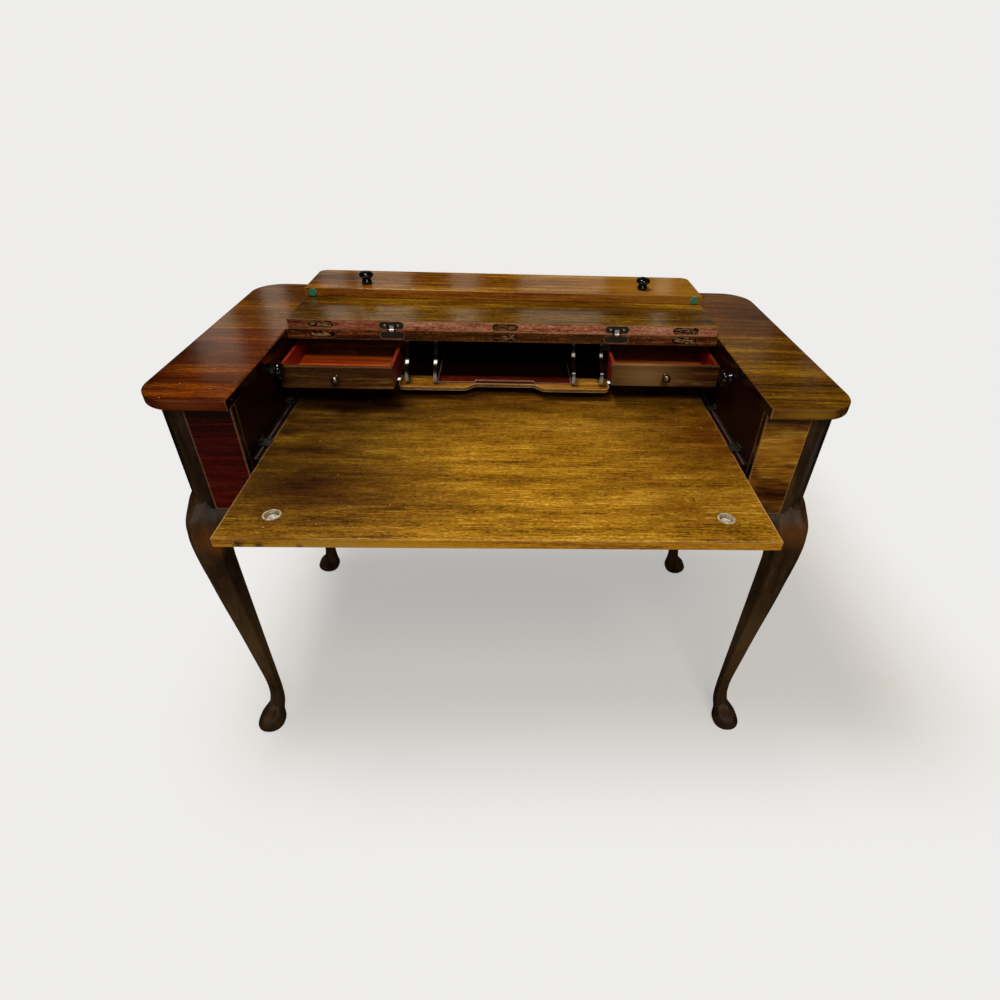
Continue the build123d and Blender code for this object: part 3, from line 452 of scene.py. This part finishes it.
# %% The wings
wing_low, wing_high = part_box("right_wing_top")
well, wing_front, top_z = wing_low[0], wing_low[1], wing_high[2]
wing_edge_z = (wing_low[2] + wing_high[2]) / 2
wing_edge = (0.09, 6 * mm, 12 * mm)
skin = 0.4 * mm
below_top = top_z - 0.5 * mm
nearly_black = ["#0c0302", "#1a0604", "#240a06"]
# Lacquered mahogany aged red: warm streaks deep under a sharp gloss. Its darker red is partly painted
# shade.
left_wing = wood(
    "mahogany_red", ["#341202", "#582405", "#6e3206", "#a05a0f"], shift=0.4, worn="#b87a5a", speck=0.8,
    arris_share=0.9, arris_width=4 * mm, rub=(0.25, 0.45),
    patches=[("#7a4a38", 0.9, (-0.56, -0.08, 0.81), (0.10, 0.30, 0.2)),
             ("#d87a50", 0.5, (-0.44, -0.19, 0.81), (0.12, 0.06, 0.1))],
    blooms=[("#a04c18", 0.7, (-0.46, wing_front, wing_edge_z), wing_edge)],
    faces=[(nearly_black, (-well - skin, -1, 0), (-well + 1, 1, below_top), stained)],
)
# The same lacquer aged golden: paler streaks, the same sharp gloss. Its golden tone is partly painted
# light.
right_wing = wood(
    "mahogany_golden", ["#342006", "#66420a", "#82580a", "#b88a1c"], shift=1.9, worn="#d0a060", speck=0.5,
    arris_share=0.9, arris_width=4 * mm, rub=(0.25, 0.45),
    patches=[("#c8a080", 0.5, (0.52, 0.0, 0.81), (0.10, 0.2, 0.2))],
    blooms=[("#c08c24", 0.8, (0.46, wing_front, wing_edge_z), wing_edge)],
    faces=[(nearly_black, (well - 1, -1, 0), (well + skin, 1, below_top), stained)],
)
dress(left_wing, "left_wing_top")
dress(right_wing, "right_wing_top")
print("wings dressed; the well's half width is", round(well, 4))

# %% [markdown]
# The rear board, the lid and the flap come next. Each raw edge is a box of its own along the hinges, with
# a nearly black strip inside it: painted shade for the depth of the old mortises.

# %% Rear board, lid and flap
lid_low, lid_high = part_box("lid_board")
hinge_y = lid_low[1]
mortise_mouth, mortise_floor = hinge_y + 0.5 * mm, hinge_y + 3.4 * mm
mortise_x, mortise_end = (-0.335, 0.0, 0.335), 0.37
# Brown between the two wings; its raw front edge is dark and mottled.
rear_board = wood(
    "mahogany_rear_board", ["#341a03", "#603405", "#784506", "#986010"], shift=2.6, worn="#c89a64",
    speck=0.3,
    patches=[("#a89a90", 0.8, (0.52, 0.2, 0.81), (0.16, 0.3, 0.2))],
    faces=[(["#180b06", "#44240f", "#6c3a1a", "#b07440"],
            (-well, 0, 0), (well, mortise_floor, top_z - skin), raw_edge),
           # Nearly black strip: painted shade in the depth of the old mortises.
           (nearly_black, (-mortise_end, mortise_mouth, 0),
            (mortise_end, mortise_floor, top_z - 1.5 * mm), stained)],
)
dress(rear_board, "rear_top_board")
edge_top = lid_high[2] - 0.6 * mm
mortise_low, mortise_high = lid_low[2] + 1.6 * mm, lid_high[2] - 1.4 * mm
brown_end = -0.209
# Dark golden mahogany under a sharp gloss; its raw front edge is pinkish, browner at the left end.
lid = wood(
    "mahogany_lid", ["#1c0f02", "#573606", "#7c560c", "#b48c24"], shift=3.3, worn="#c8935c", speck=0.3,
    arris_share=0.8, arris_width=4 * mm, rub=(0.3, 0.5),
    patches=[("#8a6a50", 0.8, (-0.42, 0.14, 0.83), (0.16, 0.2, 0.1)),
             ("#a07850", 0.6, (0.1, 0.25, 0.83), (0.6, 0.09, 0.1))],
    faces=[(["#6c3020", "#c07858", "#e4a082", "#fcd0b8"],
            (brown_end, 0, 0.7), (1, mortise_floor, edge_top), raw_edge),
           (["#5a2414", "#94523a", "#b87454", "#d8a080"],
            (-1, 0, 0.7), (brown_end, mortise_floor, edge_top), raw_edge),
           # Nearly black strip: painted shade in the depth of the old mortises.
           (nearly_black, (-mortise_end, mortise_mouth, mortise_low),
            (mortise_end, mortise_floor, mortise_high), stained)],
)
dress(lid, "lid_board")
flap_low, flap_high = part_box("flap_board")
flap_edge_top = flap_high[2] - 1.2 * mm
# The brightest board of the top, golden towards its right end, partly as painted light, with an orange
# front edge.
flap = wood(
    "mahogany_flap", ["#2c1402", "#703c05", "#96600c", "#cc9830"], shift=4.1, worn="#c89058", speck=0.3,
    arris_share=0.9, arris_width=4 * mm, rub=(0.3, 0.45),
    patches=[("#b08a60", 0.6, (-0.36, 0.28, 0.85), (0.16, 0.2, 0.1))],
    blooms=[("#c08a30", 0.8, (0.34, 0.28, 0.85), (0.24, 0.2, 0.1))],
    faces=[(["#6a3008", "#a8641a", "#c07c24", "#d89a48"],
            (-1, 0, 0.7), (1, flap_low[1] + 0.6 * mm, flap_edge_top), polished)],
)
dress(flap, "flap_board")
print("top dressed; hinged edges at y", round(hinge_y, 4))

# %% [markdown]
# ## The hinged edges
# The two raw edges show what has been torn and mended. Six old mortises are full of torn fibres, thin tan
# curls over a ground painted nearly black as shade. Each hinge plate sits in a pocket whose cut shows as a
# pale line, and is held by two flat screws. These are made as new pieces: a curl is a tapered rod bent to
# an arc, a pocket's line a thin tube round the plate, a screw head a flattened ball sunk halfway into the
# plate. The ones above ride on the lid, the ones below on the desk.

# %% Shapes of torn fibres, pocket lines and screws
mortise_half_length, mortise_half_height, curl_depth = 22.5 * mm, 6.2 * mm, 2.4 * mm
line_gap, line_half_width, line_proud = 0.6 * mm, 0.55 * mm, 0.35 * mm
screw_radius, screw_proud, screw_spread = 2.1 * mm, 0.35 * mm, 12 * mm
plate_spots = np.empty(3 * len(nodes["lid_hinge_plates"].data.vertices))
nodes["lid_hinge_plates"].data.vertices.foreach_get("co", plate_spots)
plate_reach = np.abs(plate_spots[::3])
hinge_x = (plate_reach.max() + plate_reach.min()) / 2
hinge_half = (plate_reach.max() - plate_reach.min()) / 2


def curls(name, middle_z, seed):
    """Curls in three mortises. Along the rod t runs from -1 to 1: the point moves half its length times t
    along the rod, bends aside and outwards by (1 - t squared), and the radius is the rod's own times the
    root of that."""
    dice = np.random.default_rng(seed)
    count = 34
    total = len(mortise_x) * count
    length = dice.uniform(5, 13, total) * mm
    lean = dice.normal(0, 0.35, total)
    bend, lift = dice.uniform(-3, 3, total) * mm, dice.uniform(0.2, 1.6, total) * mm
    thick = dice.uniform(0.35, 0.8, total) * mm
    room = mortise_half_length - length / 2
    start_x = np.repeat(mortise_x, count) + dice.uniform(-1, 1, total) * room
    start_z = middle_z + dice.uniform(-4.5, 4.5, total) * mm
    t = np.linspace(-1, 1, 9)[None, :, None]
    around = np.linspace(0, 2 * np.pi, 7)[None, None, :-1]
    length, lean, bend, lift, thick, start_x, start_z = (
        value[:, None, None] for value in (length, lean, bend, lift, thick, start_x, start_z))
    arch = 1 - t**2
    radius = thick * np.sqrt(arch)
    aside = bend * arch + radius * np.cos(around)
    x = start_x + length / 2 * t * np.cos(lean) - aside * np.sin(lean)
    y = hinge_y + curl_depth - lift * arch + 0.7 * radius * np.sin(around)
    z = start_z + length / 2 * t * np.sin(lean) + aside * np.cos(lean)
    z = np.clip(z, middle_z - mortise_half_height, middle_z + mortise_half_height)
    return sheet_mesh(name, np.stack(np.broadcast_arrays(x, y, z), -1), wrap=True, closed=True)


def pocket_lines(name, plates):
    """A tube round each plate: its middle line is two half circles and two straights, outside the plate
    by the line's gap."""
    low, high = plates
    radius = (high[2] - low[2]) / 2
    straight = hinge_half - radius
    sweep = np.concatenate([np.linspace(-0.5, 0.5, 17), np.linspace(0.5, 1.5, 17), [-0.5]]) * np.pi
    shift = np.concatenate([np.full(17, straight), np.full(17, -straight), [straight]])
    around = np.linspace(0, 2 * np.pi, 9)[:-1]
    reach = radius + line_gap + line_half_width * np.cos(around)
    x = shift[:, None] + reach * np.cos(sweep)[:, None]
    z = (low[2] + high[2]) / 2 + reach * np.sin(sweep)[:, None]
    y = hinge_y + line_proud * np.sin(around)
    grid = np.stack(np.broadcast_arrays(x, y, z), -1)
    centres = np.array([[-hinge_x, 0, 0], [hinge_x, 0, 0]])
    return sheet_mesh(name, grid[None] + centres[:, None, None], wrap=True, closed=True)


def screw_heads(name, middle_z):
    """Flattened balls, by the polar angle and the turn: wide across the plate and little out of it."""
    polar = np.linspace(0, np.pi, 9)[:, None]
    around = np.linspace(0, 2 * np.pi, 17)[:-1]
    flat = screw_radius * np.sin(polar)
    x, y, z = flat * np.cos(around), -screw_proud * np.cos(polar), flat * np.sin(around)
    grid = np.stack(np.broadcast_arrays(x, y, z), -1)
    ways = [(side, way) for side in (-1, 1) for way in (-1, 1)]
    spots = [(side * hinge_x + way * screw_spread, hinge_y, middle_z) for side, way in ways]
    return sheet_mesh(name, grid[None] + np.array(spots)[:, None, None], wrap=True, closed=True)


print("hinges", round(hinge_x, 4), "m from the middle, plates", round(2 * hinge_half, 4), "m long")

# %% [markdown]
# Both edges get the same three pieces. The screws wait for their metal, which comes with the small parts.

# %% Torn fibres, pocket lines and screws
# Torn wood, dry: matte tan threads.
fibres = wood("torn_mahogany_fibres", ["#5a3614", "#a87440", "#d0a878", "#f0d4ac"], raw_edge, shift=20.1,
              gloss=0.7)
# Cut wood beside the plates: a matte pale line.
cut_line = wood("pale_cut_wood", ["#6a4426", "#946844", "#ac8258", "#c49c74"], raw_edge, shift=20.7,
                gloss=0.7)
hinge_pieces = []
for body_name, plates_name, seed in (("lid", "lid_hinge_plates", 4), ("desk", "top_hinge_plates", 9)):
    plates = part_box(plates_name)
    middle_z = (plates[0][2] + plates[1][2]) / 2
    made = [(curls(f"{body_name}_torn_fibres", middle_z, seed), "top_veneer", fibres),
            (pocket_lines(f"{body_name}_pocket_lines", plates), "top_veneer", cut_line),
            (screw_heads(f"{body_name}_hinge_screws", middle_z), "steel", None)]
    for piece, slot, finish in made:
        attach(piece, body_name)
        hinge_pieces.append(piece)
        if finish:
            piece.data.materials.append(finish)
print("hinge details:", [(piece.name, len(piece.data.polygons)) for piece in hinge_pieces])

# %% [markdown]
# ## The writing board
# The board is satin rather than glossy, and its veneer is flecked all over. It is golden in the middle and
# towards the front; the left side, the part under the gallery and the part under the left drawer are
# darkened with painted shade. Dirt has gathered round the finger cups, and two scratches lie near the
# right one. The front edge is painted bright golden, with wear along its arris and painted light on its
# face, the side arrises carry thin painted highlights, and three dark chips show on the front edge at the
# left.

# %% Writing board
board_low, board_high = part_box("writing_board")
board_front, board_top = board_low[1], board_high[2]
cup_low, cup_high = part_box("finger_cups")
cup_radius = 12.5 * mm
cup_x, cup_y = cup_high[0] - cup_radius, (cup_low[1] + cup_high[1]) / 2
arris = 1.6 * mm
arris_z = board_top - arris
# The front edge's bright golden tones are painted light.
front_edge_tones = ["#7a4408", "#d48c1c", "#ffb828", "#ffd464"]
# Pale strips along the board's two side arrises: painted highlights.
arris_highlight_tones = ["#b07840", "#e0b078", "#f4cc98", "#ffe4c0"]
# Each stain: colour, share, place and reach to the side and to the back. The three dark ones on the left,
# at the rear under the gallery and under the left drawer are painted shade; the others darken it in
# blotches.
stains_and_painted_shade = [("#3c2410", 0.97, (-0.37, -0.12), (0.37, 0.28)), ("#541c08", 0.97, (0.0, 0.10), (0.9, 0.28)),
          ("#4a1008", 0.98, (-0.26, 0.02), (0.30, 0.15)), ("#7a4a20", 0.95, (0.38, -0.09), (0.30, 0.25)),
          ("#6a4a28", 0.98, (-0.27, -0.26), (0.28, 0.18)), ("#8a6430", 0.5, (0.28, -0.29), (0.14, 0.09))]
# Each chip: colour, place along the edge, height, half width and half height in millimetres.
chips = [("#140600", -0.349, 0.688, 11, 11), ("#140600", -0.322, 0.687, 10, 11),
         ("#2a1204", -0.269, 0.685, 8, 8)]
scratches = [((0.268, -0.262), (16, 2)), ((0.283, -0.272), (3, 14))]
marks = [(tint, share, (*spot, 0.7), (*reach, 0.1)) for tint, share, spot, reach in stains_and_painted_shade]
marks += [(tint, 1.0, (x, board_front, z), (wide * mm, 12 * mm, tall * mm))
          for tint, x, z, wide, tall in chips]
marks += [("#3a2408", 0.9, (side * cup_x, cup_y, board_top), (24 * mm, 24 * mm, 10 * mm))
          for side in (-1, 1)]
marks += [("#5a3a18", 0.8, (*spot, board_top), (wide * mm, deep * mm, 5 * mm))
          for spot, (wide, deep) in scratches]
# Satin lacquer over flecked mahogany: a broad soft sheen and no mirror image.
board = wood(
    "mahogany_writing_board", ["#462703", "#986a12", "#c89420", "#ffd058"], flecked, shift=5.2,
    gloss=0.40, shine=0.12, worn="#f0c080", arris_share=1.0, arris_width=5 * mm, rub=(0.2, 0.4), speck=0.7,
    pore=0.7, patches=marks,
    # The orange bloom on the front edge is painted light.
    blooms=[("#ffb814", 0.6, (-0.12, board_front, 0.690), (0.25, 4 * mm, 12 * mm))],
    faces=[(front_edge_tones, (-1, -1, 0.6), (1, board_front + 0.8 * mm, board_top - 1 * mm), polished),
           (arris_highlight_tones, (-1, -1, arris_z), (board_low[0] + arris, 1, 1), stained),
           (arris_highlight_tones, (board_high[0] - arris, -1, arris_z), (1, 1, 1), stained)],
)
dress(board, "writing_board")
print("board", [round(c, 3) for c in board_high], "with", len(marks), "marks")

# %% [markdown]
# ## The case
# The front panels are veneered across: dark red on the left, golden with a flame figure on the right.
# Their ends towards the well are stained like the well itself, nearly black.

# %% Case
panel_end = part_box("right_front_panel")[0][0] + 0.8 * mm
panel_y = -0.19
# Dark red mahogany, half gloss, with painted highlights along its arrises.
left_panel = wood(
    "mahogany_panel_red", ["#2c0503", "#480b05", "#5e1007", "#80240c"], shift=6.4, gloss=0.22, shine=0.3,
    worn="#e0a888", arris_share=1.0, arris_width=5 * mm, rub=(0.2, 0.4),
    patches=[("#7a5a50", 0.8, (-0.43, panel_y, 0.80), (0.2, 0.1, 0.05))],
    faces=[(nearly_black, (-panel_end, -1, 0.5), (0, 1, 1), stained)],
)
# Flame-figured mahogany, half gloss: wavy golden bands, dark above and below, with painted highlights along
# its arrises.
right_panel = wood(
    "mahogany_panel_golden", ["#5a2404", "#b06c0e", "#dc9a22", "#ffd060"], flamed, shift=7.15, gloss=0.22,
    shine=0.3, worn="#e8b878", arris_share=1.0, arris_width=5 * mm, rub=(0.2, 0.4),
    patches=[("#5a2408", 1.0, (0.43, panel_y, 0.635), (0.16, 0.1, 0.095)),
             ("#4a2010", 1.0, (0.43, panel_y, 0.80), (0.16, 0.1, 0.062))],
    blooms=[("#e8a830", 0.6, (0.435, panel_y, 0.732), (0.05, 0.1, 0.026))],
    faces=[(nearly_black, (0, -1, 0.5), (panel_end, 1, 1), stained)],
)
# Plain brown mahogany: half gloss on the sides, duller on the back and the front rail.
side_wood = wood("mahogany_sides", ["#2a0c04", "#54200a", "#6e3610", "#8a5018"], grain="y", shift=8.3,
                 gloss=0.22)
back_wood = wood("mahogany_back", ["#24100a", "#44200e", "#583014", "#6e421c"], shift=8.9, gloss=0.35)
# Dark stain and little lacquer: dull and nearly black, pale where the arrises are rubbed.
inner = wood("stained_inner_wood", ["#0e0102", "#180203", "#200304", "#2a0605"], stained, grain="y",
             shift=10.2, gloss=0.4, shine=0.2, worn="#8a6a4a", arris_share=0.7)
dress(left_panel, "left_front_panel")
dress(right_panel, "right_front_panel")
dress(side_wood, "left_side_panel", "right_side_panel")
dress(back_wood, "back_panel", "front_rail")
dress(inner, "left_inner_wall", "right_inner_wall", "left_board_guide", "right_board_guide",
      "left_block_floor", "right_block_floor", "drawer_shelves", "drawer_guides", "board_stop_blocks",
      "board_batten")
print("case dressed; panels end at x", round(panel_end, 4))

# %% [markdown]
# ## The legs
# The legs and their posts are solid wood, stained nearly black, with brown showing on the knees. The pale
# streak down each front post and the lighter parts of the front knees and shanks are painted where the
# photo shows them, as blooms.

# %% Legs
knee, streak, shank = (0.06, 0.06, 0.05), (9 * mm, 12 * mm, 0.11), (0.12, 0.12, 0.22)
leg_x, leg_y = 0.50, -0.19
streak_x, streak_y, streak_z = 0.493, -0.184, 0.715
# Solid wood under dark stain: mottled, nearly black, with a soft sheen on the round forms.
leg_wood = wood(
    "stained_leg_wood", ["#221609", "#3e2c16", "#584026", "#7c5c3a"], mottled, grain="z", shift=9.1,
    gloss=0.26, pore=0.3, shine=0.45, worn="#6a4a2c", arris_share=0.6,
    patches=[("#7a6450", 0.9, (side * leg_x, leg_y, 0.73), (0.10, 0.10, 0.14)) for side in (-1, 1)],
    blooms=[("#9a5418", 0.9, (-0.475, -0.205, 0.545), knee),
            ("#985a20", 0.75, (0.505, -0.215, 0.575), knee),
            # Painted highlights: a pale streak down each front post.
            ("#62626c", 0.7, (streak_x, streak_y, streak_z), streak),
            ("#4e3c1c", 0.7, (-streak_x, streak_y, streak_z), streak),
            ("#80623e", 0.7, (leg_x, leg_y, 0.26), shank),
            ("#80623e", 0.7, (-leg_x, leg_y, 0.26), shank)],
)
legs = [f"{end}_{side}_leg" for end in ("front", "rear") for side in ("left", "right")]
dress(leg_wood, *legs)
print("dressed", legs)

# %% [markdown]
# ## The gallery and the drawers
# The pigeonholes are dark, with rounded noses. In the photo the floor and the pen tray are lit only along
# the front and lie in black shadow further in, and the foot of each nose has a pale glint. The soft light
# here reaches deeper, so the black depth and the glints are painted into the wood. The drawers' fronts
# are striped brown veneer. Inside they are bare: dark red sides and an orange bottom, like cedar.

# %% Gallery
dividers = ["left_outer_divider", "left_inner_divider", "right_inner_divider", "right_outer_divider"]
nose_x = [(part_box(name)[0][0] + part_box(name)[1][0]) / 2 for name in dividers]
glint_y, glint_z, glint = 0.0525, 0.734, (12 * mm, 9 * mm, 15 * mm)
floor_shadow_y, tray_shadow_y = 0.092, 0.088
# Polished black-brown wood, nearly black as painted shade of the deep gallery, with painted highlights at
# the foot of each rounded nose.
gallery_dark = wood(
    "dark_wood_painted_shade_and_highlights", ["#060202", "#0e0403", "#160604", "#200a06"], stained, grain="y", shift=11.3,
    gloss=0.10, blooms=[("#d4d4da", 0.95, (x, glint_y, glint_z), glint) for x in nose_x],
)
# Golden polished wood. The pale line along its front edge is a painted highlight; beyond the front strip it
# is painted nearly black as shadow.
gallery_floor = wood(
    "polished_golden_floor", ["#4a2a08", "#8a5a14", "#b07c24", "#d8a850"], shift=12.1, gloss=0.2,
    worn="#fff0d8", arris_share=1.0, rub=(0.1, 0.3),
    faces=[(nearly_black, (-1, floor_shadow_y, 0.5), (1, 1, 1), stained)],
)
# Red polished wood. The pale line along its lip is a painted highlight; further in it is painted nearly
# black as shadow.
tray = wood(
    "polished_red_tray", ["#240804", "#4a1208", "#5e1a0a", "#70240e"], shift=12.9, gloss=0.2,
    worn="#f0d0a8", arris_share=1.0, rub=(0.1, 0.3),
    faces=[(nearly_black, (-1, tray_shadow_y, 0.5), (1, 1, 1), stained)],
)
# Dividers, gallery back and drawer kickers: nearly black as painted shade.
dress(gallery_dark, *dividers, "gallery_back", "drawer_kickers")
dress(gallery_floor, "gallery_floor")
dress(tray, "pen_tray")
print("gallery dressed; noses at x", [round(float(x), 4) for x in nose_x])

# %% Drawers
# Striped brown veneer, satin: fine level stripes and a weak sheen.
drawer_front = wood(
    "striped_veneer", ["#2c1206", "#4c280c", "#66401a", "#9a7440"], striped, shift=13.7, gloss=0.3,
    shine=0.3, worn="#b09070", blooms=[("#b08c5c", 0.9, (0.26, 0.03, 0.76), (0.10, 0.05, 0.05))],
)
# Bare wood stained red, dull and even.
red_sides = wood("red_drawer_sides", ["#4a0a04", "#7a1606", "#942408", "#b04818"], stained, shift=14.5,
                 gloss=0.4, pore=0.2, worn="#c08050", arris_share=0.6)
# Bare softwood, like cedar: bright orange and dull.
cedar = wood("orange_drawer_bottom", ["#cc400c", "#ee661e", "#fa8e3c", "#ffba6c"], shift=14.9, gloss=0.4,
             pore=0.2)
for side in ("left", "right"):
    dress(drawer_front, f"{side}_drawer_front")
    dress(red_sides, f"{side}_drawer_sides", f"{side}_drawer_back")
    dress(cedar, f"{side}_drawer_bottom")
print("drawers dressed")

# %% [markdown]
# ## Metal and lacquer
# The small parts: black lacquered knobs, blackened iron hinge plates, bare steel tongues, strips and
# clips, nickel cups, and drawer knobs of browned brass.


# %% Metal and lacquer
def metal(name, colour, stain, roughness, spot=3 * mm, metallic=1.0):
    """Bare metal with tarnish: a noise of one spot's size mixes in the stain and dulls the metal there."""
    material, tree, shader, place = blank(name, Metallic=metallic)
    tarnish = add(tree, "TexNoise", {"Vector": place, "Scale": 1 / spot, "Detail": 3.0}).outputs["Fac"]
    stops = [(0.40, linear(stain)), (0.62, linear(colour))]
    ramp = add(tree, "ValToRGB", {"Fac": tarnish}, stops=stops)
    tree.links.new(ramp.outputs["Color"], shader.inputs["Base Color"])
    span = {"Value": tarnish, "From Min": 0.35, "From Max": 0.65, "To Min": roughness + 0.15,
            "To Max": roughness}
    tree.links.new(add(tree, "MapRange", span).outputs[0], shader.inputs["Roughness"])
    return material


def black_paint(name, colour, rub, roughness):
    """Black paint or lacquer: a fine noise rubs it a little paler and duller in places."""
    material, tree, shader, place = blank(name)
    rubbed = add(tree, "TexNoise", {"Vector": place, "Scale": 1 / (4 * mm), "Detail": 4.0}).outputs["Fac"]
    stops = [(0.5, linear(colour)), (0.75, linear(rub))]
    ramp = add(tree, "ValToRGB", {"Fac": rubbed}, stops=stops)
    tree.links.new(ramp.outputs["Color"], shader.inputs["Base Color"])
    span = {"Value": rubbed, "From Min": 0.4, "From Max": 0.7, "To Min": roughness,
            "To Max": roughness + 0.12}
    tree.links.new(add(tree, "MapRange", span).outputs[0], shader.inputs["Roughness"])
    return material


# Black lacquer: deep black with a small sharp highlight.
black_lacquer = black_paint("black_lacquer", "#060608", "#1c1c20", 0.12)
# Blackened iron: black, half matt, a little brown where it is rubbed.
black_iron = black_paint("blackened_iron", "#080707", "#241f1c", 0.35)
# Bare steel: grey-white metal with a blurred shine, tarnished in spots.
steel = metal("bare_steel", "#e4e6ea", "#a8a49c", 0.35)
# Dull steel: dark grey metal, dirty in spots.
dull_steel = metal("dull_steel", "#8a867e", "#3a342c", 0.40)
# Browned brass: a dark warm metal with a dull shine.
browned_brass = metal("browned_brass", "#8a7c6a", "#4a4036", 0.30)
dress(black_lacquer, "left_flap_knob", "right_flap_knob", "left_lid_rest_knob", "right_lid_rest_knob")
dress(black_iron, "top_hinge_plates", "lid_hinge_plates", "top_hinge_ears")
dress(steel, "lid_hinge_tongues", "guide_strips", "flap_hinge_leaves", "flap_hinge_lid_leaves")
dress(dull_steel, "board_clips", "clip_screws")
dress(browned_brass, "left_drawer_knob", "right_drawer_knob")
bpy.data.objects["lid_hinge_screws"].data.materials.append(steel)
bpy.data.objects["desk_hinge_screws"].data.materials.append(black_iron)
print("metal and lacquer dressed")

# %% [markdown]
# ## Finger cups
# The cups are turned: a pale dish, a dark groove and a warm rim, told apart by the distance from the middle
# of the cup. Folding space at the middle of the desk lets one pattern serve both cups.

# %% Finger cups
# Worn nickel plate, only partly metallic: its pale dish is partly painted reflection, white where the metal
# would shine.
nickel = metal("nickel_plate", "#f2f2ee", "#b0aca2", 0.35, spot=5 * mm, metallic=0.25)
tree, shader = nickel.node_tree, nickel.node_tree.nodes["Principled BSDF"]
place = add(tree, "TexCoord").outputs["Object"]
folded = add(tree, "VectorMath", {0: place}, operation="ABSOLUTE").outputs[0]
off = add(tree, "VectorMath", {0: folded, 1: (cup_x, -cup_y, 0)}, operation="SUBTRACT").outputs[0]
flat = add(tree, "VectorMath", {0: off, 1: (1, 1, 0)}, operation="MULTIPLY").outputs[0]
reach = add(tree, "VectorMath", {0: flat}, operation="LENGTH").outputs["Value"]
reach = add(tree, "Math", {0: reach, 1: cup_radius}, operation="DIVIDE").outputs[0]
dish, groove, rim = linear("#ffffff"), linear("#5a5044"), linear("#fff2d8")
stops = [(0.0, dish), (0.60, dish), (0.68, groove), (0.76, groove), (0.82, rim), (1.0, rim)]
rings = add(tree, "ValToRGB", {"Fac": reach}, stops=stops).outputs["Color"]
bright = shader.inputs["Base Color"].links[0].from_socket
inputs = {0: 1.0, 6: bright, 7: rings}
ringed = add(tree, "Mix", inputs, data_type="RGBA", blend_type="MULTIPLY").outputs[2]
tree.links.new(ringed, shader.inputs["Base Color"])
dress(nickel, "finger_cups")
print("cups at x", round(cup_x, 4), "and y", round(cup_y, 4))

# %% [markdown]
# ## Felt
# Two dots of green felt on the flap are the last to be dressed. A look through all CAD nodes then shows
# whether any was left out.

# %% Felt
# Wool felt: matte green, with a faint edge of light from its fibres.
felt, tree, shader, place = blank("green_felt", Roughness=0.95, Sheen_Weight=0.5)
fluff = add(tree, "TexNoise", {"Vector": place, "Scale": 1 / (1.2 * mm), "Detail": 4.0}).outputs["Fac"]
stops = [(0.35, linear("#127a5e")), (0.65, linear("#27b48c"))]
ramp = add(tree, "ValToRGB", {"Fac": fluff}, stops=stops)
tree.links.new(ramp.outputs["Color"], shader.inputs["Base Color"])
fuzz = add(tree, "Bump", {"Height": fluff, "Strength": 0.6, "Distance": 0.5 * mm})
tree.links.new(fuzz.outputs[0], shader.inputs["Normal"])
dress(felt, "felt_pads")
bare = [name for name, node in nodes.items() if node.data.materials[0].name.startswith("slot")]
print("felt dressed; left bare:", bare)

# %% [markdown]
# ## Finish
# The view transform is set to Standard.

# %% Finish
bpy.context.scene.view_settings.view_transform = "Standard"
